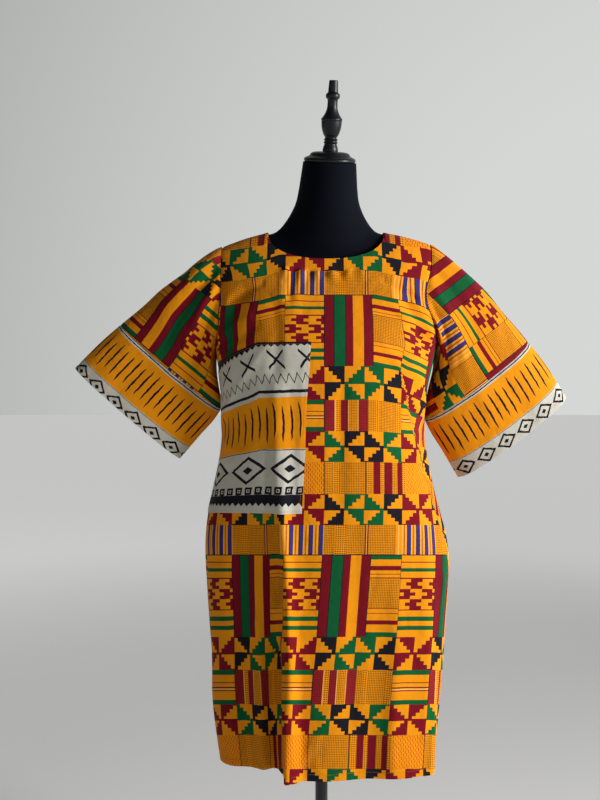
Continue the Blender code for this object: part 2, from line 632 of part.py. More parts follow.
def turned(name, profile, sides, finish):
    """A turned piece that stands on the origin."""
    points, faces = [], []
    for height, radius in profile:
        for step in range(sides):
            angle = 2 * math.pi * step / sides
            points.append((radius * math.cos(angle), radius * math.sin(angle), height))
    for i in range(len(profile) - 1):
        for j in range(sides):
            a, b = i * sides + j, i * sides + (j + 1) % sides
            faces.append((a, b, b + sides, a + sides))
    faces.append(tuple(range(sides))[::-1])
    last = (len(profile) - 1) * sides
    faces.append(tuple(range(last, last + sides)))
    return new_object(name, points, faces, finish)


def make_neck_pieces():
    """The cap on the sloping neck top and the finial on the cap."""
    up = neck_turn() @ Vector((0.0, 0.0, 1.0))
    cap = turned("neck_cap", CAP_PROFILE, CAP_SIDES, LACQUER)
    finial = turned("finial", FINIAL_PROFILE, FINIAL_SIDES, LACQUER)
    for thing, height in ((cap, PART_GAP), (finial, PART_GAP + FINIAL_SEAT)):
        thing.rotation_euler = (NECK_TILT, NECK_LEAN, 0.0)
        thing.location = Vector(NECK_TOP) + up * height


def make_stand():
    """The round base with its socket, and the pole up to the torso."""
    turned("stand_base", BASE_PROFILE, BASE_SIDES, LACQUER)
    foot, top = SOCKET_HEIGHT + PART_GAP, TORSO_FOOT_Z - PART_GAP
    turned("pole", ((foot, POLE_RADIUS), (top, POLE_RADIUS)), POLE_SIDES, STEEL)


def main():
    for thing in list(bpy.data.objects):
        bpy.data.objects.remove(thing, do_unlink=True)
    make_stand()
    make_torso()
    make_neck_pieces()
    front, front_out, back = make_panels()
    make_patch(front, front_out)
    make_sleeve("left", LEFT, LEFT_SLEEVE, front, back)
    make_sleeve("right", RIGHT, RIGHT_SLEEVE, front, back)


main()
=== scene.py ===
"""The looks of a kente-print shirt dress that a black dress form wears.

Each cloth piece is a fine thin shell on its solid's form, with small creases, a printed
material and rows of stitches. The form and the stand are smooth turned or lofted bodies.
Metres, +Z up, and the front faces -Y; the left side is the viewer's left.
"""

import functools
import math
from collections import namedtuple

import bmesh
import bpy
import numpy as np
from bpy.props import FloatProperty, FloatVectorProperty, IntProperty, PointerProperty
from mathutils import Euler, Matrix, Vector


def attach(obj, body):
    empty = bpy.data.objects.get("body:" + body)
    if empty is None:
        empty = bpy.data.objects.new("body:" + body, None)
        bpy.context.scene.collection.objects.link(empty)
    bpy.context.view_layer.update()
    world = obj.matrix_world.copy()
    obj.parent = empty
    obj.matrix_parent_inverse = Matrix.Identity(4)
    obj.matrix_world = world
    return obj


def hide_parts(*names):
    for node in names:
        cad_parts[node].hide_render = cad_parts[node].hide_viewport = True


bl_info = {
    "name": "Kente shirt dress",
    "version": (1, 0, 0),
    "blender": (4, 5, 0),
    "location": "View3D > Sidebar > Dress",
    "description": "Makes the cloth, the print and the dress form of a kente shirt dress",
    "category": "Add Mesh",
}

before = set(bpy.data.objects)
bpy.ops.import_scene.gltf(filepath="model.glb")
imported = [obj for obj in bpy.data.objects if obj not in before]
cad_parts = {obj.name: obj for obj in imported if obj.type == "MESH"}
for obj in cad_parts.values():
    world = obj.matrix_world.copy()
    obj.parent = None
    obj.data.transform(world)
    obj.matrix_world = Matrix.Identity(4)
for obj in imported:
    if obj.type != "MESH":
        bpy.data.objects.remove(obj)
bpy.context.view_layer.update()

FRONT, BACK = -1, 1
LEFT, RIGHT = -1, 1
BODY_NAME = "root"
# The angle from which an edge is shaded sharp, in degrees
CLOTH_SHARP, THREAD_SHARP, TORSO_SHARP, TURNED_SHARP, STAND_SHARP = 60, 80, 50, 55, 45


def rows_of(kind, *rows):
    """A table whose rows are all of this kind."""
    return tuple(kind(*row) for row in rows)


# The photo's camera
CAMERA_PLACE = (-0.0417, -1.62, 1.11)
PICTURE = (600, 800)
CAMERA_REACH = 833.3

# Sewing
HEM_DEPTH = 0.012
CUFF_HEM_DEPTH = 0.010
HEM_FOLD = 0.001
SEWN_IN = 0.004
STITCH_LIFT = 0.0001
# A stitch is a small bead, drawn out along its line
BEAD_SIZES = (("Segments", 6), ("Rings", 4), ("Radius", 0.5))
# A row of the patch's stitches stops at this share of the sewn-in width from the patch's other edges
STITCHES_STOP = 0.8
Groove = namedtuple("Groove", "depth width")
SEAM_GROOVE = Groove(0.0012, 0.0032)
BAND_GROOVE = Groove(0.0008, 0.0028)
HEM_GROOVE = Groove(0.0006, 0.0022)
CUFF_GROOVE = Groove(0.0005, 0.0020)
# The unevenness of a stitched hem, as a share of its groove: waves with a height and a pace along the hem
HEM_WAVES = ((0.35, 150), (0.25, 61))

# How the print lies on the front: the photo's y of its rows and how far down the print they are
PrintRow = namedtuple("PrintRow", "y down")
PRINT_ROWS = rows_of(
    PrintRow,
    (240, -0.546), (271, -0.492), (295, -0.438), (366, -0.290),
    (400, -0.231), (431, -0.170), (462, -0.114), (494, -0.054),
    (525, 0.000), (555, 0.054), (637, 0.202), (670, 0.261),
    (704.5, 0.322), (735, 0.378), (769, 0.438), (785, 0.468),
)
# Where the edge between the first two columns of the print runs in the photo, and how far across it is
GrainPoint = namedtuple("GrainPoint", "y x")
GRAIN_LINE = rows_of(
    GrainPoint,
    (500, 324.3), (540, 323.0), (555, 322.5), (637, 316.6),
    (670, 313.0), (704, 310.5), (735, 308.0), (769, 306.8),
)
PRINT_B_START = 0.072
# How far the rows hang down towards the sides of the chest, in pixels of the photo
Droop = namedtuple("Droop", "x drop")
ROW_DROOP = rows_of(
    Droop,
    (225, 11.0), (262, 5.5), (280, 0.0), (375, 0.0),
    (400, 5.0), (407, 6.5), (440, 8.5),
)
# How much of the print the skirt's long ridge hides, by the photo's x
Tuck = namedtuple("Tuck", "x hidden")
RIDGE_TUCK = rows_of(Tuck, (235, 0.037), (268, 0.026), (280, 0.0))
# The photo's y where each of these begins, and over how many pixels it comes in: upwards below nought
Fade = namedtuple("Fade", "y over")
TUCK_FADE = Fade(440, 60)
SEEN_FADE = Fade(305, -40)
DROOP_FADE = Fade(480, -100)
# How much print one pixel of the photo shows above the first row and below the last
PRINT_ABOVE, PRINT_BELOW = 0.00174, 0.0019
# On the back: the print's place at the middle, the height of one of its rows, and its stretch at the chest
PRINT_BACK_MIDDLE = 0.1085
BACK_ROW_Z, BACK_ROW_DOWN = 0.8285, 0.054
BACK_CHEST_STRETCH = 0.06
# The bust darts: the photo's place of each point, and how far the cloth beyond the dart is turned. Round the
# point the turn starts at the seam's angle, is full as far as the first angle below, and ends at the second.
# It comes in over a small width at the seam, and near the point.
Dart = namedtuple("Dart", "x y side seam turn")
DARTS = rows_of(Dart, (395, 356, 1, -72, 15), (222, 352, -1, -72, 12))
DART_FULL_TO, DART_ENDS_AT = 40, 78
DART_SEAM_WIDTH = 0.01
DART_NEAR = 0.03
# The print on a sleeve: its place at the top edge by the band, and how far across and down the print leads
# each metre towards the shoulder and each metre round the sleeve
SleevePrint = namedtuple("SleevePrint", "across down up_across up_down round_across round_down")
LEFT_PRINT = SleevePrint(0.217, 0.054, -0.12, 1.0, -1.0, 0.0)
RIGHT_PRINT = SleevePrint(-0.058, 0.185, 0.96, 0.03, 0.0, -1.0)

# Cloth
WALL = 0.0016
SEAM_GAP = 0.0004
BAND_GAP = 0.0007
PATCH_LIFT = 0.0008
HEM_Z = 0.418
UNDERARM_Z = 1.205
PATCH_FOOT_Z = 0.905

# Neck and shoulders: the neck hole is an oval round NECK_X, and the shoulder seams run down to the tips.
NECK_X = 0.0085
NECK_HALF = 0.113
NECK_Z = 1.4375
FRONT_NECK_DROP = 0.0630
BACK_NECK_DROP = 0.020
NECK_SQUARE = 2.3
LEFT_TIP = (-0.1943, 1.4090)
RIGHT_TIP = (0.2140, 1.4140)
SHOULDER_BOW = 0.0025
SHOULDER_ROLL = 0.100

# The weave's level rows hang lower at the sides than at the middle, most of all at the hips.
SIDE_DROP = 0.016
SIDE_DROP_POWER = 3

# How finely each piece is cut into faces
FRONT_COLUMNS = 36
BACK_COLUMNS = 24
SKIRT_ROWS = 11
WAIST_ROWS = 9
YOKE_ROWS = 12
SLEEVE_AROUND = 2 * YOKE_ROWS
SLEEVE_RINGS = 8
BAND_RINGS = 4
DENSE = 400
LEVELS = 80
CORNER_ROWS = 5

# The dress form
NECK_TOP = (0.0158, -0.0040, 1.5707)
NECK_TOP_RADIUS = 0.0515
NECK_TILT = math.radians(18)
NECK_LEAN = math.radians(2.4)
PART_GAP = 0.0003

# The stand
POLE_RADIUS = 0.012
TORSO_FOOT_Z = 0.800
BASE_RADIUS = 0.170
BASE_HEIGHT = 0.020
SOCKET_RADIUS = 0.024
SOCKET_HEIGHT = 0.048
POLE_CHAMFER = 0.0006

# One row for each level of the body: where its sides are, the y of the side seams, and how far
# the cloth reaches to the front and the back. A corner is 2 for an oval, and more for a boxy section.
Section = namedtuple("Section", "z left right side_y front back left_corner right_corner back_corner")
BODY = rows_of(
    Section,
    (0.410, -0.196, 0.2125, -0.006, -0.110, 0.122, 1.75, 3.2, 2.3),
    (0.451, -0.202, 0.2165, -0.006, -0.110, 0.125, 1.75, 3.2, 2.3),
    (0.534, -0.212, 0.2255, -0.005, -0.110, 0.130, 1.80, 3.0, 2.3),
    (0.622, -0.213, 0.2335, -0.003, -0.111, 0.133, 1.90, 2.9, 2.3),
    (0.688, -0.218, 0.2375, -0.001, -0.113, 0.135, 2.00, 2.8, 2.3),
    (0.751, -0.222, 0.2425, 0.001, -0.115, 0.136, 2.10, 2.7, 2.3),
    (0.841, -0.225, 0.2410, 0.003, -0.118, 0.134, 2.20, 2.6, 2.3),
    (0.891, -0.220, 0.2300, 0.004, -0.119, 0.130, 2.30, 2.5, 2.3),
    (0.939, -0.209, 0.2170, 0.004, -0.120, 0.124, 2.40, 2.5, 2.3),
    (1.008, -0.195, 0.2035, 0.004, -0.121, 0.116, 2.50, 2.5, 2.3),
    (1.090, -0.1905, 0.1955, 0.005, -0.124, 0.111, 2.50, 2.5, 2.4),
    (1.150, -0.197, 0.2080, 0.006, -0.131, 0.112, 2.50, 2.5, 2.4),
    (1.205, -0.205, 0.2205, 0.007, -0.133, 0.116, 2.50, 2.5, 2.5),
    (1.260, -0.218, 0.2340, 0.008, -0.120, 0.118, 2.50, 2.5, 2.5),
    (1.310, -0.226, 0.2420, 0.009, -0.097, 0.117, 2.50, 2.5, 2.5),
    (1.350, -0.230, 0.2460, 0.010, -0.074, 0.112, 2.50, 2.5, 2.5),
    (1.390, -0.232, 0.2480, 0.010, -0.056, 0.103, 2.50, 2.5, 2.5),
    (1.440, -0.232, 0.2480, 0.010, -0.045, 0.090, 2.50, 2.5, 2.5),
)

# The armhole seams, from under the arm to the shoulder tip
Armhole = namedtuple("Armhole", "z left right")
ARMHOLES = rows_of(
    Armhole,
    (1.205, -0.2050, 0.2205),
    (1.245, -0.1950, 0.2125),
    (1.270, -0.1945, 0.2005),
    (1.305, -0.1915, 0.1935),
    (1.360, -0.1925, 0.2080),
    (1.420, -0.1943, 0.2140),
)

# Each fold is a soft ridge, or a trough where its height is below nought, along a straight line
# on the panel: across is measured round the body from the panel's middle, and width is its spread.
Fold = namedtuple("Fold", "across z height to_across to_z to_height width")
FRONT_FOLDS = rows_of(
    Fold,
    (-0.086, 1.150, 0.003, -0.081, 0.400, 0.026, 0.016),
    (-0.104, 0.900, 0.000, -0.120, 0.400, -0.034, 0.020),
    (-0.160, 1.000, 0.000, -0.166, 0.400, -0.022, 0.034),
    (0.180, 0.980, 0.000, 0.186, 0.400, 0.012, 0.018),
    (0.095, 0.900, 0.000, 0.060, 0.400, -0.012, 0.045),
    (0.030, 1.130, -0.003, 0.020, 0.900, -0.002, 0.014),
    (-0.052, 1.350, 0.003, -0.085, 1.200, 0.002, 0.012),
    (0.150, 1.290, -0.007, 0.190, 1.215, -0.010, 0.016),
    (-0.150, 1.300, -0.006, -0.200, 1.220, -0.010, 0.018),
    (0.165, 1.160, 0.004, 0.235, 1.080, 0.009, 0.020),
    (-0.170, 1.170, 0.004, -0.235, 1.080, 0.008, 0.020),
    (0.235, 0.830, 0.007, 0.215, 0.700, 0.000, 0.028),
    (-0.235, 0.850, 0.006, -0.220, 0.700, 0.000, 0.028),
)
BACK_FOLDS = rows_of(
    Fold,
    (-0.070, 1.280, 0.000, -0.085, 0.400, 0.014, 0.024),
    (0.085, 1.250, 0.000, 0.070, 0.400, 0.012, 0.026),
    (0.010, 1.150, 0.000, -0.008, 0.400, -0.010, 0.030),
    (-0.160, 1.100, 0.000, -0.165, 0.400, -0.009, 0.026),
    (0.165, 1.100, 0.000, 0.160, 0.400, -0.010, 0.024),
    (0.130, 1.300, -0.006, 0.200, 1.210, -0.008, 0.018),
    (-0.130, 1.300, -0.005, -0.200, 1.210, -0.008, 0.018),
)

# One row for each ring of a sleeve and its band: along is 0 at the armhole, 1 where the band
# begins and 1.5 at the hem. Top and foot are the two edges that the flattened tube turns at.
Ring = namedtuple("Ring", "along top_x top_z foot_x foot_z depth bulge")
BAND_START = 1.0
BAND_END = 1.5
RIGHT_SLEEVE = rows_of(
    Ring,
    (0.00, 0.2145, 1.4140, 0.2210, 1.2050, 0.125, 0.000),
    (0.20, 0.2550, 1.3800, 0.2225, 1.1860, 0.122, 0.002),
    (0.40, 0.2960, 1.3410, 0.2180, 1.1640, 0.117, 0.004),
    (0.60, 0.3290, 1.3030, 0.2105, 1.1370, 0.108, 0.006),
    (0.80, 0.3640, 1.2640, 0.2040, 1.1060, 0.096, 0.008),
    (1.00, 0.3990, 1.2230, 0.2010, 1.0740, 0.084, 0.010),
    (1.25, 0.4365, 1.1740, 0.2330, 1.0180, 0.072, 0.009),
    (1.50, 0.4740, 1.1155, 0.2666, 0.9610, 0.060, 0.008),
)
LEFT_SLEEVE = rows_of(
    Ring,
    (0.00, -0.1945, 1.4090, -0.2055, 1.2050, 0.125, 0.000),
    (0.20, -0.2330, 1.3860, -0.2075, 1.1870, 0.122, 0.000),
    (0.40, -0.2710, 1.3520, -0.2060, 1.1670, 0.117, 0.000),
    (0.60, -0.3090, 1.3240, -0.2025, 1.1440, 0.108, 0.002),
    (0.80, -0.3480, 1.2880, -0.1985, 1.1200, 0.095, 0.004),
    (1.00, -0.3885, 1.2555, -0.1960, 1.0930, 0.080, 0.005),
    (1.25, -0.4330, 1.2160, -0.2345, 1.0460, 0.068, 0.004),
    (1.50, -0.4775, 1.1714, -0.2761, 0.9974, 0.057, 0.002),
)
# How much of the armhole's own shape the sleeve keeps, ring by ring
ARMHOLE_SHARE = (1.0, 0.72, 0.45, 0.22, 0.08)

# One row for each ring of the torso. Its sides may stand higher than its middle, over the shoulders,
# and slope is how much it drops to the front.
Torso = namedtuple("Torso", "middle_x side_z middle_z half_width front back corner slope")
TORSO = rows_of(
    Torso,
    (0.000, 0.800, 0.800, 0.128, -0.070, 0.080, 2.3, 0.0),
    (0.000, 0.806, 0.806, 0.140, -0.080, 0.092, 2.3, 0.0),
    (0.001, 0.860, 0.860, 0.160, -0.090, 0.106, 2.3, 0.0),
    (0.002, 0.920, 0.920, 0.158, -0.090, 0.104, 2.3, 0.0),
    (0.003, 0.980, 0.980, 0.138, -0.084, 0.090, 2.2, 0.0),
    (0.004, 1.040, 1.040, 0.119, -0.080, 0.078, 2.2, 0.0),
    (0.005, 1.090, 1.090, 0.124, -0.090, 0.078, 2.2, 0.0),
    (0.006, 1.140, 1.140, 0.141, -0.112, 0.084, 2.2, 0.0),
    (0.007, 1.180, 1.180, 0.150, -0.119, 0.090, 2.2, 0.0),
    (0.008, 1.220, 1.220, 0.155, -0.114, 0.096, 2.2, 0.0),
    (0.008, 1.270, 1.265, 0.159, -0.096, 0.100, 2.3, 0.0),
    (0.009, 1.320, 1.305, 0.165, -0.076, 0.098, 2.3, 0.0),
    (0.009, 1.360, 1.335, 0.169, -0.062, 0.092, 2.3, 0.0),
    (0.009, 1.388, 1.352, 0.168, -0.052, 0.084, 2.2, 0.0),
    (0.009, 1.4103, 1.365, 0.162, -0.047, 0.077, 2.1, 0.0),
    (0.009, 1.4227, 1.376, 0.146, -0.041, 0.067, 2.0, 0.0),
    (0.009, 1.4309, 1.388, 0.123, -0.041, 0.065, 2.0, 0.05),
    (0.009, 1.4390, 1.405, 0.0965, -0.045, 0.066, 2.0, 0.10),
    (0.010, 1.4620, 1.440, 0.0765, -0.050, 0.062, 2.0, 0.16),
    (0.0115, 1.4920, 1.480, 0.0620, -0.0535, 0.058, 2.0, 0.22),
    (0.0130, 1.5220, 1.517, 0.0565, -0.0550, 0.053, 2.0, 0.27),
)

# How the smooth torso is read off these rings, and where its last rings stand between it and the neck's top
TORSO_FIRST_STEP, TORSO_STEP = 0.34, 0.25
NECK_SHARES = (0.2, 0.4, 0.6, 0.8, 0.96, 1.0)

# Turned pieces, as height above their seat and radius
CAP_PROFILE = (
    (0.0000, 0.0440), (0.0003, 0.0480), (0.0025, 0.0500), (0.0060, 0.0498),
    (0.0085, 0.0470), (0.0105, 0.0420), (0.0125, 0.0392), (0.0160, 0.0370),
    (0.0185, 0.0318), (0.0195, 0.0250),
)
FINIAL_SEAT = 0.0198
FINIAL_PROFILE = (
    (0.0000, 0.0148), (0.0035, 0.0150), (0.0085, 0.0138), (0.0130, 0.0122), (0.0150, 0.0124),
    (0.0168, 0.0138), (0.0184, 0.0122), (0.0202, 0.0122), (0.0220, 0.0138), (0.0238, 0.0118),
    (0.0262, 0.0114), (0.0310, 0.0144), (0.0370, 0.0168), (0.0440, 0.0186), (0.0510, 0.0194),
    (0.0562, 0.0196), (0.0575, 0.0202), (0.0600, 0.0202), (0.0618, 0.0186), (0.0670, 0.0150),
    (0.0730, 0.0120), (0.0800, 0.0100), (0.0880, 0.0096), (0.0945, 0.0100), (0.0975, 0.0128),
    (0.1010, 0.0134), (0.1045, 0.0128), (0.1075, 0.0098), (0.1130, 0.0092), (0.1270, 0.0084),
    (0.1290, 0.0074),
)
BASE_PROFILE = (
    (0.000, BASE_RADIUS - 0.004), (0.003, BASE_RADIUS), (0.011, BASE_RADIUS),
    (0.016, BASE_RADIUS - 0.004), (BASE_HEIGHT, BASE_RADIUS - 0.014),
    (BASE_HEIGHT + 0.003, 0.075), (BASE_HEIGHT + 0.006, 0.040),
    (BASE_HEIGHT + 0.012, SOCKET_RADIUS + 0.003), (SOCKET_HEIGHT - 0.004, SOCKET_RADIUS),
    (SOCKET_HEIGHT, SOCKET_RADIUS - 0.003),
)

# The patch, in columns and rows of the front panel's grid
PATCH_LEFT = 0.25
PATCH_LAST_COLUMN = 15
PATCH_RIGHT_FOOT = 15.2
PATCH_RIGHT_TOP = 16.2
PATCH_LEFT_TOP_Z = 1.156
PATCH_SLOPE_END = 10
PATCH_RIGHT_TOP_Z = 1.213
PATCH_ROW_CELLS = 14
# How far down the border print the patch's foot is
PATCH_TALL = 0.310
# The patch's steps in its first and last column, closer together at its edges
PATCH_FIRST_STEPS = (0.0, 0.04, 0.09, 0.16, 0.28, 0.42, 0.58, 0.75)
PATCH_LAST_STEPS = (0.2, 0.45, 0.7, 0.84, 0.92, 0.97, 1.0)
# A sewn edge lies lower by the first depth, and the turned-in cloth beside it stands proud
PATCH_EDGE = Groove(0.0004, 0.004)
PATCH_SWELL = Groove(-0.0005, 0.006)
PATCH_SWELL_IN = 0.010


def follow(table, place):
    """The table's row at this place in its first column, on a smooth curve through its rows."""
    rows = np.array(table, dtype=float)
    keys = rows[:, 0]
    slopes = np.gradient(rows, keys, axis=0)
    i = int(np.clip(np.searchsorted(keys, place) - 1, 0, len(keys) - 2))
    span = keys[i + 1] - keys[i]
    t = min(max((place - keys[i]) / span, 0.0), 1.0)
    rise = t * t * (3 - 2 * t)
    start = t * (1 - t) ** 2 * span
    end = t * t * (t - 1) * span
    row = (1 - rise) * rows[i] + rise * rows[i + 1] + start * slopes[i] + end * slopes[i + 1]
    return type(table[0])(*row)


def evenly(points, count):
    """The line through these points, cut into this many equal lengths."""
    points = np.asarray(points, dtype=float)
    steps = np.linalg.norm(np.diff(points, axis=0), axis=1)
    run = np.concatenate(([0.0], np.cumsum(steps)))
    marks = np.linspace(0.0, run[-1], count + 1)
    return np.stack([np.interp(marks, run, points[:, k]) for k in range(3)], axis=1)


def superellipse(x, square):
    """The height of a rounded box of half width 1 at x."""
    return max(0.0, 1.0 - min(1.0, abs(x)) ** square) ** (1.0 / square)


def shoulder_seam_z(x):
    """The height of the shoulder seam at x; nearer the middle it runs on at the same slope."""
    tip_x, tip_z = RIGHT_TIP if x > NECK_X else LEFT_TIP
    share = (abs(tip_x - NECK_X) - abs(x - NECK_X)) / (abs(tip_x - NECK_X) - NECK_HALF)
    bow = 4 * SHOULDER_BOW * max(0.0, share * (1 - share))
    return tip_z + (NECK_Z - tip_z) * share + bow


def reach_and_corner(s, x, face):
    """How far the section reaches on this face, and how boxy it is on this side of its middle."""
    if face == BACK:
        return s.back, s.back_corner
    return s.front, (s.right_corner if x > (s.left + s.right) / 2 else s.left_corner)


def cloth_y(x, z, face):
    """The y of the dress at this x and z, on its front or back face."""
    s = follow(BODY, z)
    middle, half = (s.left + s.right) / 2, (s.right - s.left) / 2
    reach, corner = reach_and_corner(s, x, face)
    below_seam = min(1.0, max(0.0, (shoulder_seam_z(x) - z) / SHOULDER_ROLL))
    roll = math.sqrt(1.0 - (1.0 - below_seam) ** 2)
    return s.side_y + (reach - s.side_y) * superellipse((x - middle) / half, corner) * roll


def body_line(z, face, columns):
    """Even points round one face of the body at this height, from its left side to its right."""
    s = follow(BODY, z)
    middle, half = (s.left + s.right) / 2, (s.right - s.left) / 2
    line = []
    for angle in np.linspace(-math.pi / 2, math.pi / 2, DENSE + 1):
        reach, corner = reach_and_corner(s, middle + half * angle, face)
        across = math.copysign(abs(math.sin(angle)) ** (2 / corner), angle)
        out = max(0.0, math.cos(angle)) ** (2 / corner)
        line.append((middle + half * across, s.side_y + (reach - s.side_y) * out, z))
    return evenly(line, columns)


def top_edge(share, face):
    """The x and z of the panel's top edge: share runs from -1 at the left shoulder tip to 1 at the right."""
    if abs(share) <= 0.5:
        across = math.sin(share * math.pi)
        drop = FRONT_NECK_DROP if face == FRONT else BACK_NECK_DROP
        return NECK_X + NECK_HALF * across, NECK_Z - drop * superellipse(across, NECK_SQUARE)
    tip_x = (RIGHT_TIP if share > 0 else LEFT_TIP)[0]
    neck_x = NECK_X + math.copysign(NECK_HALF, share)
    x = neck_x + (tip_x - neck_x) * (2 * abs(share) - 1)
    return x, shoulder_seam_z(x)


def yoke_line(share, start_x, face):
    """One column of a panel, from under the arm up to its top edge."""
    end_x, end_z = top_edge(share, face)
    start_arm, end_arm = (follow(ARMHOLES, z) for z in (UNDERARM_Z, ARMHOLES[-1].z))
    pick = (lambda row: row.right) if share > 0 else (lambda row: row.left)
    low = (start_x - NECK_X) / (pick(start_arm) - NECK_X)
    high = (end_x - NECK_X) / (pick(end_arm) - NECK_X)
    tip_z = RIGHT_TIP[1] if share > 0 else LEFT_TIP[1]
    line = []
    for turn in np.linspace(0, math.pi / 2, DENSE // 4 + 1):
        up = math.sin(turn)
        z = UNDERARM_Z + (end_z - UNDERARM_Z) * up
        arm = pick(follow(ARMHOLES, UNDERARM_Z + (tip_z - UNDERARM_Z) * up))
        x = NECK_X + (arm - NECK_X) * (low + (high - low) * up)
        line.append((x, cloth_y(x, z, face), z))
    return evenly(line, YOKE_ROWS)


def unit(directions):
    """These directions at a length of 1."""
    return directions / np.linalg.norm(directions, axis=2, keepdims=True)


def face_out(grid, face):
    """The outward direction at each point of a panel's grid; at the side and shoulder seams it has no y."""
    along = np.gradient(grid, axis=0)
    across = np.gradient(grid, axis=1)
    out = np.cross(across, along)
    rows, columns = grid.shape[:2]
    seam = np.zeros((rows, columns), dtype=bool)
    seam[: rows - YOKE_ROWS, [0, -1]] = True
    quarter = (columns - 1) // 4
    seam[-1, : quarter + 1] = True
    seam[-1, -quarter - 1 :] = True
    if face == BACK:
        out = -out
    out = unit(out)
    corner = rows - 1 - YOKE_ROWS
    for j in (0, 1, 2, -3, -2, -1):
        for i in range(1, CORNER_ROWS):
            turn = i / CORNER_ROWS
            out[corner + i, j] = out[corner, j] * (1 - turn) + out[corner + CORNER_ROWS, j] * turn
    out[seam, 1] = 0.0
    return unit(out)


def fold_height(folds, across, z):
    """How far the folds push the cloth out at these places on a panel."""
    height = np.zeros_like(z)
    for f in folds:
        run = (f.to_across - f.across, f.to_z - f.z)
        t = ((across - f.across) * run[0] + (z - f.z) * run[1]) / (run[0] ** 2 + run[1] ** 2)
        t = np.clip(t, 0.0, 1.0)
        away = np.hypot(across - f.across - t * run[0], z - f.z - t * run[1])
        height += (f.height + (f.to_height - f.height) * t) * np.exp(-((away / f.width) ** 2))
    return height


def panel_grid(face, columns, folds):
    """The outer face of the front or the back, row by row from the hem, and its outward directions."""
    levels = np.concatenate((
        np.linspace(HEM_Z, PATCH_FOOT_Z, SKIRT_ROWS + 1)[:-1],
        np.linspace(PATCH_FOOT_Z, UNDERARM_Z, WAIST_ROWS + 1),
    ))
    shares = np.linspace(-1, 1, columns + 1)
    drops = SIDE_DROP * np.abs(shares) ** SIDE_DROP_POWER
    fine_z = np.linspace(HEM_Z, UNDERARM_Z, LEVELS + 1)
    fine = np.array([body_line(z, face, columns) for z in fine_z])
    skirt = []
    for z in levels:
        hips = math.sin(math.pi * (z - HEM_Z) / (UNDERARM_Z - HEM_Z)) ** 2
        row = []
        for j, drop in enumerate(drops):
            row.append([np.interp(z - drop * hips, fine_z, fine[:, j, k]) for k in range(3)])
        skirt.append(np.array(row))
    yoke = [yoke_line(share, start[0], face) for share, start in zip(shares, skirt[-1])]
    grid = np.array(skirt + [[column[k] for column in yoke] for k in range(1, YOKE_ROWS + 1)])
    quarter = columns // 4
    grid[:, [0, -1], 1] += face * SEAM_GAP / 2
    grid[-1, 1 : quarter + 1, 1] += face * SEAM_GAP / 2
    grid[-1, -quarter - 1 : -1, 1] += face * SEAM_GAP / 2
    lengths = np.linalg.norm(np.diff(grid, axis=1), axis=2).sum(axis=1)
    push = fold_height(folds, np.outer(lengths / 2, shares), grid[:, :, 2]) * (1 - shares ** 8)
    grid += face_out(grid, face) * push[:, :, None]
    return grid, face_out(grid, face)


def armhole_loop(front, back, side, corner):
    """The armhole seam, from the shoulder tip down the front to the corner's row and up the back."""
    column = -1 if side == RIGHT else 0
    down = front[corner:, column][::-1].copy()
    up = back[corner:, column].copy()
    down[0] = (down[0] + up[-1]) / 2
    up[0] = (down[-1] + up[0]) / 2
    loop = np.concatenate((down[:-1], up[:-1]))
    loop[:, 0] += side * SEAM_GAP
    return loop


def tube_axes(ring):
    """The middle of a sleeve ring, the vector from there to its top edge, and the way the sleeve runs on."""
    middle = np.array(((ring.top_x + ring.foot_x) / 2, 0.0, (ring.top_z + ring.foot_z) / 2))
    rise = np.array(((ring.top_x - ring.foot_x) / 2, 0.0, (ring.top_z - ring.foot_z) / 2))
    onward = np.array((rise[2], 0.0, -rise[0])) / np.linalg.norm(rise)
    return middle, rise, onward


def oval_ring(ring, side):
    """Even steps round one sleeve ring, from its top edge down the front and up the back."""
    middle, rise, onward = tube_axes(ring)
    half = SLEEVE_AROUND // 2
    lines = []
    for face, angles in ((FRONT, (0, math.pi)), (BACK, (math.pi, 0))):
        line = []
        for angle in np.linspace(*angles, DENSE // 4 + 1):
            up, out = math.cos(angle), math.sin(angle)
            point = middle + rise * up + side * onward * ring.bulge * out
            line.append(point + np.array((0.0, face * ring.depth / 2 * out ** 0.9, 0.0)))
        lines.append(evenly(line, half)[:-1])
    return np.concatenate(lines)


def sleeve_rings(table, loop, side, start, end, count):
    """A sleeve's or a band's inner face, ring by ring from the shoulder, and its inward directions."""
    first_middle, first_rise, first_onward = tube_axes(table[0])
    local = loop - first_middle
    up = local @ first_rise / (first_rise @ first_rise)
    onward = local @ first_onward
    rings = []
    for k, along in enumerate(np.linspace(start, end, count + 1)):
        ring = follow(table, along)
        oval = oval_ring(ring, side)
        share = ARMHOLE_SHARE[k] if start == 0 and k < len(ARMHOLE_SHARE) else 0.0
        middle, rise, run = tube_axes(ring)
        carried = middle + np.outer(up, rise) + np.outer(onward, run)
        carried[:, 1] = loop[:, 1] * ring.depth / table[0].depth
        rings.append(oval * (1 - share) + carried * share)
    rings = np.array(rings)
    if start == 0:
        rings[0] = loop
    wrapped = np.concatenate((rings[:, -1:], rings, rings[:, :1]), axis=1)
    inward = side * np.cross(np.gradient(rings, axis=0), np.gradient(wrapped, axis=1)[:, 1:-1])
    return rings, unit(inward)


def grid_at(grid, row, column):
    """A point of the grid between its rows and columns."""
    i, j = min(int(row), grid.shape[0] - 2), min(int(column), grid.shape[1] - 2)
    u, v = row - i, column - j
    return (
        grid[i, j] * (1 - u) * (1 - v) + grid[i + 1, j] * u * (1 - v)
        + grid[i, j + 1] * (1 - u) * v + grid[i + 1, j + 1] * u * v
    )


def row_at(grid, column, z):
    """The row of the grid, with its fraction, that stands at this height in this column."""
    heights = [grid_at(grid, i, column)[2] for i in range(grid.shape[0])]
    return float(np.interp(z, heights, range(len(heights))))


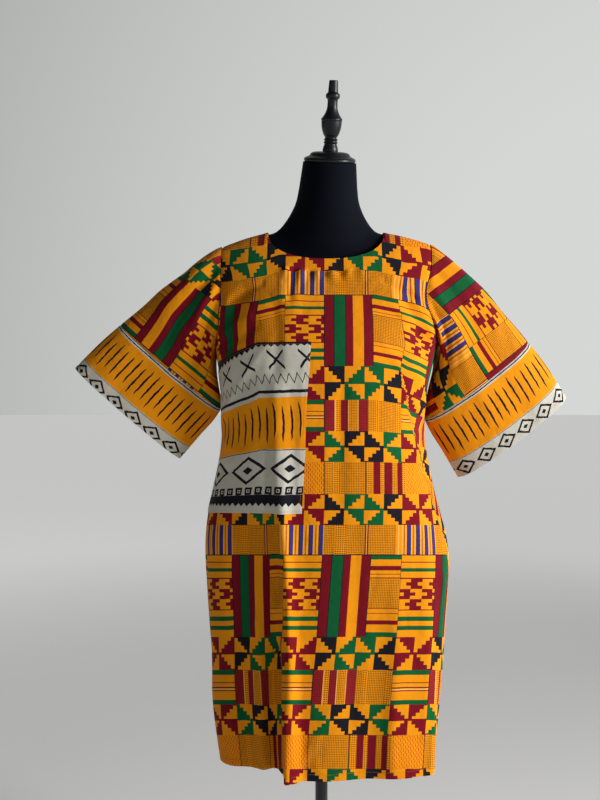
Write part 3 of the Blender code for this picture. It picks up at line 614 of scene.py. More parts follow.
def torso_ring(ring, sides):
    """One closed ring of the torso, from its left side round the front to the back."""
    points = []
    power = 2 / ring.corner
    for step in range(sides):
        angle = math.pi + 2 * math.pi * step / sides
        across = math.copysign(abs(math.cos(angle)) ** power, math.cos(angle))
        out = math.copysign(abs(math.sin(angle)) ** power, math.sin(angle))
        middle_y = (ring.front + ring.back) / 2
        y = middle_y + (ring.back - ring.front) / 2 * out
        z = ring.middle_z + (ring.side_z - ring.middle_z) * across ** 2 + ring.slope * (y - middle_y)
        points.append((ring.middle_x + ring.half_width * across, y, z))
    return points


def neck_turn():
    """How the neck's top, the cap and the finial are turned."""
    return Euler((NECK_TILT, NECK_LEAN, 0.0)).to_matrix()


def neck_top(sides):
    """The sloping round top of the neck."""
    turn = neck_turn()
    points = []
    for step in range(sides):
        angle = math.pi + 2 * math.pi * step / sides
        offset = Vector((math.cos(angle), math.sin(angle), 0.0)) * NECK_TOP_RADIUS
        points.append(np.array(Vector(NECK_TOP) + turn @ offset))
    return points


# How the fine cloth is read off the coarse grids: places inside one cell, closer together at a piece's edge
INNER_STEPS = (0.0, 0.2, 0.4, 0.6, 0.8)
EDGE_STEPS = (0.0, 0.05, 0.11, 0.18, 0.30, 0.47, 0.65, 0.83)

# Creases too small for the solids, in the same words as Fold
FRONT_CREASES = rows_of(
    Fold,
    (-0.062, 1.354, 0.0034, -0.065, 1.330, 0.0003, 0.0045),
    (-0.048, 1.350, -0.0028, -0.052, 1.290, -0.0008, 0.0050),
    (-0.037, 1.347, 0.0034, -0.041, 1.306, 0.0008, 0.0055),
    (-0.025, 1.346, -0.0026, -0.027, 1.326, -0.0004, 0.0042),
    (-0.013, 1.345, 0.0030, -0.012, 1.328, 0.0002, 0.0042),
    (-0.003, 1.345, -0.0024, -0.004, 1.332, -0.0002, 0.0036),
    (0.007, 1.345, 0.0032, 0.010, 1.322, 0.0004, 0.0045),
    (0.019, 1.346, -0.0024, 0.021, 1.326, -0.0002, 0.0042),
    (0.030, 1.347, 0.0026, 0.029, 1.330, 0.0002, 0.0046),
    (0.050, 1.351, 0.0024, 0.053, 1.326, 0.0003, 0.0055),
    (0.002, 1.322, -0.0012, 0.050, 1.306, -0.0004, 0.0050),
    (-0.040, 1.300, 0.0022, -0.064, 1.215, 0.0006, 0.0110),
    (-0.078, 1.280, -0.0020, -0.094, 1.160, -0.0026, 0.0120),
    (0.100, 1.330, -0.0018, 0.175, 1.300, -0.0034, 0.0080),
    (0.130, 1.262, 0.0016, 0.205, 1.238, 0.0042, 0.0080),
    (0.150, 1.240, -0.0018, 0.215, 1.205, -0.0038, 0.0070),
    (-0.110, 1.325, -0.0016, -0.180, 1.292, -0.0034, 0.0080),
    (-0.135, 1.262, 0.0016, -0.205, 1.236, 0.0038, 0.0085),
    (-0.120, 1.245, -0.0014, -0.200, 1.205, -0.0030, 0.0080),
    (0.096, 1.215, 0.0008, 0.215, 1.070, 0.0034, 0.0060),
    (0.110, 1.185, -0.0006, 0.220, 1.085, -0.0028, 0.0060),
    (-0.105, 1.215, 0.0008, -0.215, 1.075, 0.0034, 0.0065),
    (0.205, 1.020, 0.0028, 0.140, 1.000, 0.0003, 0.0080),
    (0.215, 0.975, -0.0028, 0.150, 0.962, -0.0004, 0.0085),
    (0.200, 1.055, -0.0020, 0.150, 1.046, -0.0003, 0.0060),
    (-0.205, 1.030, 0.0026, -0.150, 1.012, 0.0003, 0.0085),
    (-0.215, 0.985, -0.0026, -0.155, 0.965, -0.0002, 0.0080),
    (-0.100, 1.040, -0.0010, -0.103, 0.760, -0.0052, 0.0110),
    (-0.080, 0.775, -0.0004, -0.112, 0.650, -0.0050, 0.0075),
    (-0.112, 0.650, -0.0050, -0.108, 0.420, -0.0060, 0.0085),
    (-0.145, 0.700, 0.0030, -0.152, 0.430, 0.0034, 0.0110),
    (-0.060, 0.740, 0.0012, -0.070, 0.700, 0.0002, 0.0050),
    (-0.195, 0.760, -0.0024, -0.190, 0.470, -0.0014, 0.0120),
    (-0.225, 0.690, 0.0004, -0.160, 0.640, 0.0020, 0.0060),
    (0.050, 0.860, -0.0010, 0.035, 0.520, -0.0022, 0.0160),
    (0.005, 0.560, 0.0004, -0.060, 0.455, 0.0022, 0.0090),
    (0.120, 0.760, 0.0012, 0.118, 0.440, 0.0028, 0.0140),
    (0.222, 0.780, 0.0034, 0.218, 0.520, 0.0010, 0.0110),
    (0.200, 0.660, -0.0022, 0.190, 0.430, -0.0028, 0.0100),
)
BACK_CREASES = rows_of(
    Fold,
    (-0.040, 1.395, 0.0016, -0.044, 1.350, 0.0002, 0.0070),
    (0.012, 1.398, 0.0012, 0.016, 1.360, 0.0002, 0.0060),
    (0.055, 1.392, 0.0016, 0.060, 1.342, 0.0003, 0.0075),
    (0.110, 1.330, -0.0018, 0.185, 1.290, -0.0034, 0.0090),
    (-0.110, 1.325, -0.0018, -0.185, 1.288, -0.0034, 0.0090),
    (0.120, 1.255, 0.0014, 0.205, 1.225, 0.0038, 0.0085),
    (-0.120, 1.258, 0.0014, -0.205, 1.226, 0.0038, 0.0085),
    (0.190, 1.050, 0.0022, 0.080, 1.030, 0.0002, 0.0090),
    (-0.190, 1.040, 0.0022, -0.090, 1.018, 0.0002, 0.0090),
    (0.195, 0.990, -0.0024, 0.060, 0.968, -0.0003, 0.0100),
    (-0.195, 0.985, -0.0022, -0.075, 0.962, -0.0002, 0.0090),
    (-0.045, 0.900, 0.0024, -0.050, 0.430, 0.0050, 0.0150),
    (0.110, 0.920, 0.0022, 0.105, 0.430, 0.0046, 0.0170),
    (0.035, 0.820, -0.0014, 0.040, 0.430, -0.0040, 0.0150),
    (-0.120, 0.820, -0.0018, -0.118, 0.430, -0.0042, 0.0160),
    (0.200, 0.780, 0.0026, 0.205, 0.480, 0.0010, 0.0130),
    (-0.205, 0.780, 0.0026, -0.200, 0.480, 0.0010, 0.0130),
)
# Creases of a sleeve: how far round it from its top edge (the back is below nought), and how far along it
Wrinkle = namedtuple("Wrinkle", "around along height to_around to_along to_height width")
RIGHT_WRINKLES = rows_of(
    Wrinkle,
    (0.020, 0.05, 0.0010, 0.060, 0.70, 0.0024, 0.014),
    (0.075, 0.02, -0.0030, 0.110, 0.75, -0.0012, 0.013),
    (0.115, 0.03, 0.0034, 0.160, 0.90, 0.0010, 0.012),
    (0.150, 0.02, -0.0036, 0.205, 0.80, -0.0016, 0.012),
    (0.185, 0.04, 0.0030, 0.225, 0.60, 0.0012, 0.009),
    (0.012, 0.52, 0.0020, 0.052, 0.98, 0.0006, 0.010),
    (-0.030, 0.05, 0.0016, -0.070, 0.80, 0.0022, 0.015),
    (-0.085, 0.03, -0.0030, -0.130, 0.80, -0.0012, 0.013),
    (-0.135, 0.03, 0.0032, -0.180, 0.85, 0.0012, 0.012),
    (-0.180, 0.03, -0.0030, -0.215, 0.70, -0.0012, 0.010),
)
LEFT_WRINKLES = rows_of(
    Wrinkle,
    (0.035, 0.03, 0.0024, 0.060, 0.60, 0.0012, 0.013),
    (0.070, 0.02, -0.0040, 0.105, 0.80, -0.0020, 0.013),
    (0.108, 0.03, 0.0036, 0.150, 0.90, 0.0012, 0.011),
    (0.145, 0.02, -0.0036, 0.190, 0.85, -0.0014, 0.011),
    (0.178, 0.04, 0.0034, 0.215, 0.60, 0.0012, 0.009),
    (0.010, 0.25, -0.0016, 0.030, 0.62, -0.0006, 0.010),
    (-0.035, 0.05, 0.0018, -0.075, 0.80, 0.0020, 0.015),
    (-0.090, 0.03, -0.0032, -0.125, 0.80, -0.0012, 0.013),
    (-0.135, 0.03, 0.0030, -0.175, 0.85, 0.0012, 0.012),
    (-0.178, 0.03, -0.0030, -0.212, 0.70, -0.0012, 0.010),
)
BAND_WRINKLES = rows_of(
    Wrinkle,
    (0.060, 1.00, 0.0014, 0.070, 1.50, 0.0006, 0.016),
    (0.112, 1.00, -0.0016, 0.104, 1.50, -0.0008, 0.015),
    (0.160, 1.00, 0.0012, 0.168, 1.40, 0.0004, 0.012),
    (-0.070, 1.00, 0.0014, -0.082, 1.50, 0.0008, 0.016),
    (-0.125, 1.00, -0.0014, -0.118, 1.45, -0.0006, 0.014),
)
# How far beyond its ends a sleeve's crease fades out
WRINKLE_FADE = 0.10
# Creases rise from nothing at the armhole within one part in this many of the sleeve's length
WRINKLE_RISE = 12
Sleeve = namedtuple("Sleeve", "side table wrinkles lie")
SLEEVES = {
    "left": Sleeve(LEFT, LEFT_SLEEVE, LEFT_WRINKLES, LEFT_PRINT),
    "right": Sleeve(RIGHT, RIGHT_SLEEVE, RIGHT_WRINKLES, RIGHT_PRINT),
}
# A fine sheet: its outer face with the creases, its outward directions, and the face before the creases
Cloth = namedtuple("Cloth", "grid out bare")


def marks(cells, first_edge=True, last_edge=True):
    """Fractional places along this many coarse cells."""
    places = []
    for cell in range(cells):
        if cell == 0 and first_edge:
            steps = EDGE_STEPS
        elif cell == cells - 1 and last_edge:
            steps = (0.0,) + tuple(1 - s for s in EDGE_STEPS[:0:-1])
        else:
            steps = INNER_STEPS
        places += [cell + s for s in steps]
    return np.array(places + [float(cells)])


def read_off(rows, places, closed=False):
    """The rows read at fractional places, on a smooth curve that passes through every row."""
    count = len(rows)
    if closed:
        padded = np.concatenate((rows[-1:], rows, rows[:3]))
        i = np.floor(places).astype(int) % count
    else:
        padded = np.concatenate((2 * rows[:1] - rows[1:2], rows, 2 * rows[-1:] - rows[-2:-1]))
        i = np.clip(np.floor(places).astype(int), 0, count - 2)
    t = (places - np.floor(places) if closed else places - i).reshape((-1,) + (1,) * (rows.ndim - 1))
    p0, p1, p2, p3 = (padded[i + k] for k in range(4))
    bend, twist = 2 * p0 - 5 * p1 + 4 * p2 - p3, 3 * p1 - p0 - 3 * p2 + p3
    return 0.5 * (2 * p1 + (p2 - p0) * t + bend * t**2 + twist * t**3)


def read_across(rows, places, closed=False):
    """Each row read at fractional columns, as read_off reads the rows."""
    return np.swapaxes(read_off(np.swapaxes(rows, 0, 1), places, closed), 0, 1)


def read_with_corners(rows, places, corners):
    """As read_off, but the curve may turn sharply at these rows."""
    parts, ends = [], [0, *corners, len(rows) - 1]
    for start, end in zip(ends, ends[1:]):
        own = places[(places >= start) & (places < end)] - start
        parts.append(read_off(rows[start : end + 1], own))
    return np.concatenate(parts + [rows[-1:]])


def run_from(points, axis):
    """How far each point lies along its line from the line's first point."""
    steps = np.linalg.norm(np.diff(points, axis=axis), axis=-1)
    shape = list(steps.shape)
    shape[axis] = 1
    return np.concatenate((np.zeros(shape), np.cumsum(steps, axis=axis)), axis=axis)


def groove(distance, shape):
    """A soft groove at distance nought, with this depth and width."""
    return -shape.depth * np.exp(-((distance / shape.width) ** 2))


@functools.lru_cache(maxsize=None)
def coarse_panels():
    """The front and the back as the solids have them."""
    return panel_grid(FRONT, FRONT_COLUMNS, FRONT_FOLDS), panel_grid(BACK, BACK_COLUMNS, BACK_FOLDS)


ROW_MARKS = np.concatenate((
    marks(SKIRT_ROWS + WAIST_ROWS, True, False)[:-1],
    SKIRT_ROWS + WAIST_ROWS + marks(YOKE_ROWS, False, True),
))
CORNER_ROW = SKIRT_ROWS + WAIST_ROWS
CORNER_MARK = int(np.argmin(np.abs(ROW_MARKS - CORNER_ROW)))


def fine_panel(face, crease_scale):
    """The front or the back at full fineness."""
    grid, outward = coarse_panels()[0 if face == FRONT else 1]
    columns = FRONT_COLUMNS if face == FRONT else BACK_COLUMNS
    places = marks(columns)
    tall = read_off(grid, ROW_MARKS)
    for j in (0, -1):
        tall[:, j] = read_with_corners(grid[:, j], ROW_MARKS, [CORNER_ROW])
    fine = read_across(tall, places)
    fine[-1] = read_with_corners(tall[-1], places, [columns // 4, 3 * columns // 4])
    out = unit(read_across(read_off(outward, ROW_MARKS), places))
    shares = places / columns * 2 - 1
    across = run_from(fine, 1)
    creases = FRONT_CREASES if face == FRONT else BACK_CREASES
    push = crease_scale * fold_height(creases, across[:, -1:] / 2 * shares, fine[:, :, 2]) * (1 - shares**8)
    push += groove(np.minimum(across, across[:, -1:] - across), SEAM_GROOVE)
    down = run_from(fine[::-1], 0)[::-1]
    shoulder = np.abs(shares) > 0.5
    push[:, shoulder] += groove(down[:, shoulder], SEAM_GROOVE)
    push += groove(run_from(fine, 0) - HEM_DEPTH, HEM_GROOVE) * hem_waves(across, 0)
    return Cloth(fine + out * push[:, :, None], out, fine)


def hem_waves(run, phase):
    """How deep the hem's groove is at these places, as a share of its usual depth."""
    return 1.0 + sum(height * np.sin(run * pace + n * phase) for n, (height, pace) in enumerate(HEM_WAVES, 1))


AROUND_YOKE = marks(YOKE_ROWS, False, True)
AROUND_MARKS = np.concatenate(((YOKE_ROWS - AROUND_YOKE[::-1])[:-1], (YOKE_ROWS + AROUND_YOKE)[:-1]))
HALF_AROUND = len(AROUND_YOKE) - 1


def around(rings):
    """How far from a tube's top edge each cell starts and ends; at the back it is below nought."""
    closed = np.concatenate((rings, rings[:, :1]), axis=1)
    run = run_from(closed, 1)
    starts, ends = run[:, :-1].copy(), run[:, 1:].copy()
    for places in (starts, ends):
        places[:, HALF_AROUND:] -= run[:, -1:]
    return starts, ends


def wrinkle_push(wrinkles, distance, along):
    """How far a sleeve's creases push its cloth out."""
    push = np.zeros_like(distance)
    for w in wrinkles:
        share = np.clip((along - w.along) / (w.to_along - w.along), 0.0, 1.0)
        past = np.maximum(0.0, w.along - along) + np.maximum(0.0, along - w.to_along)
        end = np.exp(-((past / WRINKLE_FADE) ** 2))
        middle = w.around + (w.to_around - w.around) * share
        height = w.height + (w.to_height - w.height) * share
        push += height * end * np.exp(-(((distance - middle) / w.width) ** 2))
    return push


def fine_tube(rings, outward, places):
    """A sleeve's or a band's rings at full fineness, and their outward directions."""
    grid, out = (read_across(read_off(each, places), AROUND_MARKS, closed=True) for each in (rings, outward))
    return grid, unit(out)


def fine_sleeve(sleeve, front, back, crease_scale):
    """One sleeve and its band at full fineness."""
    side = sleeve.side
    (coarse_front, _), (coarse_back, _) = coarse_panels()
    loop = armhole_loop(coarse_front, coarse_back, side, CORNER_ROW)
    rings, inward = sleeve_rings(sleeve.table, loop, side, 0.0, BAND_START, SLEEVE_RINGS)
    outward = -inward
    outward[0, :, 0] = side * np.maximum(0.0, side * outward[0, :, 0])
    cells = marks(SLEEVE_RINGS)
    grid, out = fine_tube(rings, outward, cells)
    fade = np.clip(1.0 - cells, 0.0, 1.0)[:, None, None]
    grid += (armhole_loop(front.bare, back.bare, side, CORNER_MARK) - grid[0])[None] * fade
    starts, _ = around(grid)
    along = (cells / SLEEVE_RINGS)[:, None] * np.ones_like(starts)
    rise = np.clip(along * WRINKLE_RISE, 0.0, 1.0)
    push = crease_scale * wrinkle_push(sleeve.wrinkles, starts, along) * rise
    down = run_from(grid, 0)
    push += groove(down, SEAM_GROOVE) + groove(down[-1:] - down, BAND_GROOVE)
    grid = grid + out * WALL
    made = Cloth(grid + out * push[:, :, None], out, grid)
    rings_on, inward_on = sleeve_rings(sleeve.table, loop, side, BAND_START, BAND_END, BAND_RINGS)
    outward_on = -inward_on
    onward = tube_axes(follow(sleeve.table, BAND_START))[2] * side
    rings_on[0] = rings[-1] + BAND_GAP * onward
    outward_on[0] = outward[-1]
    cells = marks(BAND_RINGS)
    grid, out = fine_tube(rings_on, outward_on, cells)
    grid = grid + out * WALL
    starts, _ = around(grid)
    along = BAND_START + (BAND_END - BAND_START) * (cells / BAND_RINGS)[:, None] * np.ones_like(starts[:1])
    down = run_from(grid, 0)
    push = crease_scale * wrinkle_push(BAND_WRINKLES, starts, along) + groove(down, BAND_GROOVE)
    push += groove(down[-1:] - down - CUFF_HEM_DEPTH, CUFF_GROOVE) * hem_waves(starts, 1)
    return made, Cloth(grid + out * push[:, :, None], out, grid)


def patch_column(column, right):
    """The front's column that one of the patch's lies on; its last cell is stretched to end at right."""
    past = max(0.0, column - PATCH_LAST_COLUMN)
    return min(column, PATCH_LAST_COLUMN) + past * (right - PATCH_LAST_COLUMN)


def fine_patch(front_cloth):
    """The patch's outer face and outward directions, read off the fine front, and its print's place."""
    (coarse_front, _), _ = coarse_panels()
    share_marks = marks(PATCH_ROW_CELLS) / PATCH_ROW_CELLS
    column_marks = np.concatenate((
        np.array(PATCH_FIRST_STEPS) * (1 - PATCH_LEFT) + PATCH_LEFT,
        1 + marks(PATCH_LAST_COLUMN - 1, False, False),
        np.array(PATCH_LAST_STEPS) + PATCH_LAST_COLUMN,
    ))
    tops = []
    for column in column_marks:
        at = patch_column(column, PATCH_RIGHT_TOP)
        slope = min(1.0, at / PATCH_SLOPE_END)
        z = PATCH_LEFT_TOP_Z + (PATCH_RIGHT_TOP_Z - PATCH_LEFT_TOP_Z) * slope
        tops.append(row_at(coarse_front, at, z))
    column_places = marks(FRONT_COLUMNS)
    outer = np.zeros((len(share_marks), len(column_marks), 3))
    out = np.zeros_like(outer)
    for a, up in enumerate(share_marks):
        right = PATCH_RIGHT_FOOT + (PATCH_RIGHT_TOP - PATCH_RIGHT_FOOT) * up
        for b, (column, top) in enumerate(zip(column_marks, tops)):
            i = SKIRT_ROWS + (top - SKIRT_ROWS) * up
            j = patch_column(column, right)
            fine_i = np.interp(i, ROW_MARKS, range(len(ROW_MARKS)))
            fine_j = np.interp(j, column_places, range(len(column_places)))
            outer[a, b] = grid_at(front_cloth.grid, fine_i, fine_j)
            out[a, b] = grid_at(front_cloth.out, fine_i, fine_j)
    across, up = run_from(outer, 1), run_from(outer, 0)
    down = (1.0 - share_marks)[:, None] * np.ones_like(across) * PATCH_TALL
    edge = np.minimum(np.minimum(across, across[:, -1:] - across), np.minimum(up, up[-1:] - up))
    lift = PATCH_LIFT + PATCH_EDGE.depth + groove(edge, PATCH_EDGE)
    lift += groove(edge - PATCH_SWELL_IN, PATCH_SWELL)
    outer = outer + out * lift[:, :, None]
    return outer, unit(out), across, down


# The print

def seen_at(points):
    """Where the camera of the photo sees each point, in its pixels."""
    depth = points[..., 1] - CAMERA_PLACE[1]
    x = PICTURE[0] / 2 + CAMERA_REACH * (points[..., 0] - CAMERA_PLACE[0]) / depth
    y = PICTURE[1] / 2 - CAMERA_REACH * (points[..., 2] - CAMERA_PLACE[2]) / depth
    return x, y


def looked_up(table, places):
    """The second column of a table, at these places in its first."""
    return np.interp(places, *zip(*table))


def faded(y, fade):
    """From 0 to 1 over the fade's pixels."""
    return np.clip((y - fade.y) / fade.over, 0.0, 1.0)


def turned_beyond_dart(u, v, apex, dart):
    """The print's place with the part beyond a dart turned round the dart's point."""
    du, dv = u - apex[0], v - apex[1]
    angle = np.degrees(np.arctan2(-dv, dart.side * du))
    angles = [dart.seam - DART_SEAM_WIDTH, dart.seam, DART_FULL_TO, DART_ENDS_AT]
    share = np.interp(angle, angles, [0.0, 1.0, 1.0, 0.0])
    near = np.clip(np.hypot(du, dv) / DART_NEAR, 0.0, 1.0)
    t = np.radians(dart.turn) * share * near * dart.side
    return apex[0] + du * np.cos(t) + dv * np.sin(t), apex[1] - du * np.sin(t) + dv * np.cos(t)


def print_on_front(grid):
    """Where each point of the front lies in the print: across it and down it, in metres."""
    x, y = seen_at(grid)
    run = run_from(grid, 1)
    line_x = looked_up(GRAIN_LINE, y.mean(axis=1))
    start = np.array([np.interp(want, xs, own) for want, xs, own in zip(line_x, x, run)])
    u = PRINT_B_START + run - start[:, None]
    u -= looked_up(RIDGE_TUCK, x) * faded(y, TUCK_FADE)
    seen = PRINT_B_START + (x - line_x[:, None]) * (grid[..., 1] - CAMERA_PLACE[1]) / CAMERA_REACH
    u += (seen - u) * faded(y, SEEN_FADE)
    height = y - looked_up(ROW_DROOP, x) * faded(y, DROOP_FADE)
    v = looked_up(PRINT_ROWS, height)
    v -= PRINT_ABOVE * np.maximum(0.0, PRINT_ROWS[0].y - height)
    v += PRINT_BELOW * np.maximum(0.0, height - PRINT_ROWS[-1].y)
    for dart in DARTS:
        point = np.argmin(np.hypot(x - dart.x, y - dart.y))
        u, v = turned_beyond_dart(u, v, (u.flat[point], v.flat[point]), dart)
    return u, v


def print_on_back(grid):
    """The same for the back, whose print is whole and level from its middle outwards."""
    run = run_from(grid, 1)
    middle = run[:, run.shape[1] // 2][:, None]
    chest = np.maximum(0.0, grid[..., 2] - UNDERARM_Z)
    v = -(grid[..., 2] - BACK_ROW_Z) + BACK_ROW_DOWN - BACK_CHEST_STRETCH * chest
    return PRINT_BACK_MIDDLE - (run - middle), v


def print_on_sleeve(lie, up, distance):
    """The print's place this far up a sleeve and this far round it."""
    return (
        lie.across + lie.up_across * up + lie.round_across * distance,
        lie.down + lie.up_down * up + lie.round_down * distance,
    )


def distance_up(grid, table, side):
    """How far each point of a sleeve lies from the band's seam, towards the shoulder."""
    middle, _, onward = tube_axes(follow(table, BAND_START))
    return -side * ((grid - middle) @ onward)


# Meshes

def facing_out(mesh):
    """The mesh with all its faces turned outwards."""
    body = bmesh.new()
    body.from_mesh(mesh)
    bmesh.ops.recalc_face_normals(body, faces=body.faces[:])
    if body.calc_volume(signed=True) < 0:
        bmesh.ops.reverse_faces(body, faces=body.faces[:])
    body.to_mesh(mesh)
    body.free()
    return mesh


def shell(name, outer, out, thick, materials, at, next_at=None):
    """A thin closed sheet, with the print's place at each point, and on a tube at each cell's end."""
    inner = outer - out * thick[:, :, None]
    first = np.stack(at, axis=2)
    second = first[:, 1:] if next_at is None else np.stack(next_at, axis=2)
    rows, columns = outer.shape[:2]
    cells = second.shape[1]
    i, j = (n.ravel() for n in np.meshgrid(np.arange(rows - 1), np.arange(cells), indexing="ij"))
    k = (j + 1) % columns
    under = rows * columns
    a, b, c, d = i * columns + j, i * columns + k, (i + 1) * columns + k, (i + 1) * columns + j
    points = np.concatenate((outer.reshape(-1, 3), inner.reshape(-1, 3)))
    places = np.stack((first[i, j], second[i, j], second[i + 1, j], first[i + 1, j]), axis=1)
    pa, pb, pc, pd = (points[n] for n in (a, b, c, d))
    folded = (np.cross(pb - pa, pc - pa) * np.cross(pc - pa, pd - pa)).sum(axis=1) < 0
    faces, maps, inside = [], [], []
    for n, corner in enumerate(zip(a.tolist(), b.tolist(), c.tolist(), d.tolist())):
        for pick in ((0, 1, 3), (1, 2, 3)) if folded[n] else ((0, 1, 2, 3),):
            for lower, way in ((0, 1), (1, -1)):
                faces.append([lower * under + corner[p] for p in pick[::way]])
                maps.append([places[n][p] for p in pick[::way]])
                inside.append(lower)

    def rim(p, q, at_p, at_q, way):
        """One face of the sheet's edge, between its two sides."""
        faces.append((q, p, under + p, under + q)[::way])
        maps.append((at_q, at_p, at_p, at_q)[::way])
        inside.append(0)

    for row, way in ((0, 1), (rows - 1, -1)):
        for j in range(cells):
            rim(row * columns + j, row * columns + (j + 1) % columns, first[row, j], second[row, j], way)
    for j, way in ((0, -1), (cells, 1)) if next_at is None else ():
        for row in range(rows - 1):
            p = row * columns + j
            rim(p, p + columns, first[row, j], first[row + 1, j], way)
    mesh = bpy.data.meshes.new(name)
    mesh.from_pydata(points.tolist(), [], faces)
    layer = mesh.uv_layers.new(name="cloth")
    layer.data.foreach_set("uv", np.array([p for face in maps for p in face], dtype=np.float32).ravel())
    for material in materials:
        mesh.materials.append(material)
    mesh.polygons.foreach_set("material_index", inside)
    return finished(name, facing_out(mesh), CLOTH_SHARP)


def finished(name, mesh, sharp):
    """The mesh as a smooth-shaded piece that rides on the part's one body."""
    mesh.shade_smooth()
    mesh.set_sharp_from_angle(angle=math.radians(sharp))
    piece = bpy.data.objects.new(name, mesh)
    bpy.context.scene.collection.objects.link(piece)
    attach(piece, BODY_NAME)
    return piece


def stands_for(piece, node):
    """The piece takes the place of this solid, which is hidden."""
    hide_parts(node)


def declared(piece, node, flat):
    """The piece stands for its solid; the flat size that it was cut to and its area are worked out, but
    nothing uses them.
    """
    stands_for(piece, node)
    flat = tuple(round(float(size), 3) for size in flat)
    area = sum(face.area for face in piece.data.polygons) / 2


def loft(name, node, rings, material, sharp):
    """A closed body through rings of points, with flat ends, in place of its solid."""
    count, sides = rings.shape[:2]
    faces = []
    for i in range(count - 1):
        for j in range(sides):
            a, b = i * sides + j, i * sides + (j + 1) % sides
            faces.append((a, b, b + sides, a + sides))
    faces.append(tuple(range(sides))[::-1])
    faces.append(tuple(range((count - 1) * sides, count * sides)))
    mesh = bpy.data.meshes.new(name)
    mesh.from_pydata(rings.reshape(-1, 3).tolist(), [], faces)
    mesh.materials.append(material)
    stands_for(finished(name, facing_out(mesh), sharp), node)


# Stitches

# The nodes that lay small stitches along a line, and how they are joined
STITCH_NODES = {
    "given": "NodeGroupInput",
    "result": "NodeGroupOutput",
    "curve": "GeometryNodeMeshToCurve",
    "points": "GeometryNodeCurveToPoints",
    "bead": "GeometryNodeMeshUVSphere",
    "size": "ShaderNodeCombineXYZ",
    "shape": "GeometryNodeTransform",
    "place": "GeometryNodeInstanceOnPoints",
    "real": "GeometryNodeRealizeInstances",
    "paint": "GeometryNodeSetMaterial",
}
STITCH_LINKS = (
    "given.Geometry curve.Mesh", "curve.Curve points.Curve", "given.Pitch points.Length",
    "given.Width size.X", "given.Width size.Y", "given.Length size.Z",
    "bead.Mesh shape.Geometry", "size.Vector shape.Scale", "points.Points place.Points",
    "points.Rotation place.Rotation", "shape.Geometry place.Instance", "place.Instances real.Geometry",
    "real.Geometry paint.Geometry", "given.Thread paint.Material", "paint.Geometry result.Geometry",
)


def stitch_tree():
    """Geometry nodes that lay a row of small stitches along a line."""
    tree = bpy.data.node_groups.new("stitch_row", "GeometryNodeTree")
    for name, way, kind in (
        ("Geometry", "INPUT", "Geometry"), ("Pitch", "INPUT", "Float"), ("Length", "INPUT", "Float"),
        ("Width", "INPUT", "Float"), ("Thread", "INPUT", "Material"), ("Geometry", "OUTPUT", "Geometry"),
    ):
        tree.interface.new_socket(name, in_out=way, socket_type="NodeSocket" + kind)
    nodes = {word: tree.nodes.new(kind) for word, kind in STITCH_NODES.items()}
    nodes["points"].mode = "LENGTH"
    for word, value in BEAD_SIZES:
        nodes["bead"].inputs[word].default_value = value
    for link in STITCH_LINKS:
        (start, output), (end, entry) = (side.split(".") for side in link.split())
        tree.links.new(nodes[start].outputs[output], nodes[end].inputs[entry])
    return tree


def stitched(name, lines, sizes, thread):
    """Rows of stitches along these lines, as one plain mesh."""
    points = np.concatenate(lines)
    edges, start = [], 0
    for line in lines:
        edges += [(start + n, start + n + 1) for n in range(len(line) - 1)]
        start += len(line)
    path = bpy.data.meshes.new(name + "_path")
    path.from_pydata(points.tolist(), edges, [])
    guide = bpy.data.objects.new(name + "_path", path)
    bpy.context.scene.collection.objects.link(guide)
    rows = guide.modifiers.new("stitches", "NODES")
    rows.node_group = bpy.data.node_groups.get("stitch_row") or stitch_tree()
    values = {"Pitch": sizes.stitch_pitch, "Length": sizes.stitch_length, "Width": sizes.stitch_width}
    values["Thread"] = thread
    for item in rows.node_group.interface.items_tree:
        if item.in_out == "INPUT" and item.name in values:
            rows[item.identifier] = values[item.name]
    bpy.context.view_layer.update()
    mesh = bpy.data.meshes.new_from_object(guide.evaluated_get(bpy.context.evaluated_depsgraph_get()))
    bpy.data.objects.remove(guide, do_unlink=True)
    if len(mesh.polygons) == 0:
        raise RuntimeError(name + " has no stitches")
    return finished(name, mesh, THREAD_SHARP)


def line_on(grid, out, run, distance):
    """The line on a fine grid that lies this far along the run, a little proud of the cloth."""
    line = []
    for column in range(grid.shape[1]):
        row = np.interp(distance, run[:, column], range(len(run)))
        line.append(grid_at(grid, row, column) + STITCH_LIFT * grid_at(out, row, column))
    return np.array(line)


def patch_lines(outer, out):
    """Four lines just inside the patch's edges, each of which stops where the next ones cross it."""
    found = []
    ends = SEWN_IN * STITCHES_STOP
    for grid, ways in ((outer, out), (np.swapaxes(outer, 0, 1), np.swapaxes(out, 0, 1))):
        run, side = run_from(grid, 0), run_from(grid, 1)
        kept = (side.min(axis=0) > ends) & ((side[:, -1:] - side).min(axis=0) > ends)
        for measure, want in ((run, SEWN_IN), (run - run[-1:], -SEWN_IN)):
            found.append(line_on(grid, ways, measure, want)[kept])
    return found


# Materials

def linear(red, green, blue):
    """A colour given from 0 to 255, as the shader takes it."""
    shares = [c / 255 for c in (red, green, blue)]
    return tuple(c / 12.92 if c <= 0.04045 else ((c + 0.055) / 1.055) ** 2.4 for c in shares) + (1.0,)


def deeper(colour, factor):
    """This colour made darker, or lighter where the factor is over 1."""
    return tuple(c * factor for c in colour[:3]) + (1.0,)


def joined_by(operation, turned=False):
    """The method that joins a signal and another value by this kind of sum."""
    if turned:
        return lambda self, other: self.maths(operation, other, self)
    return lambda self, other: self.maths(operation, self, other)


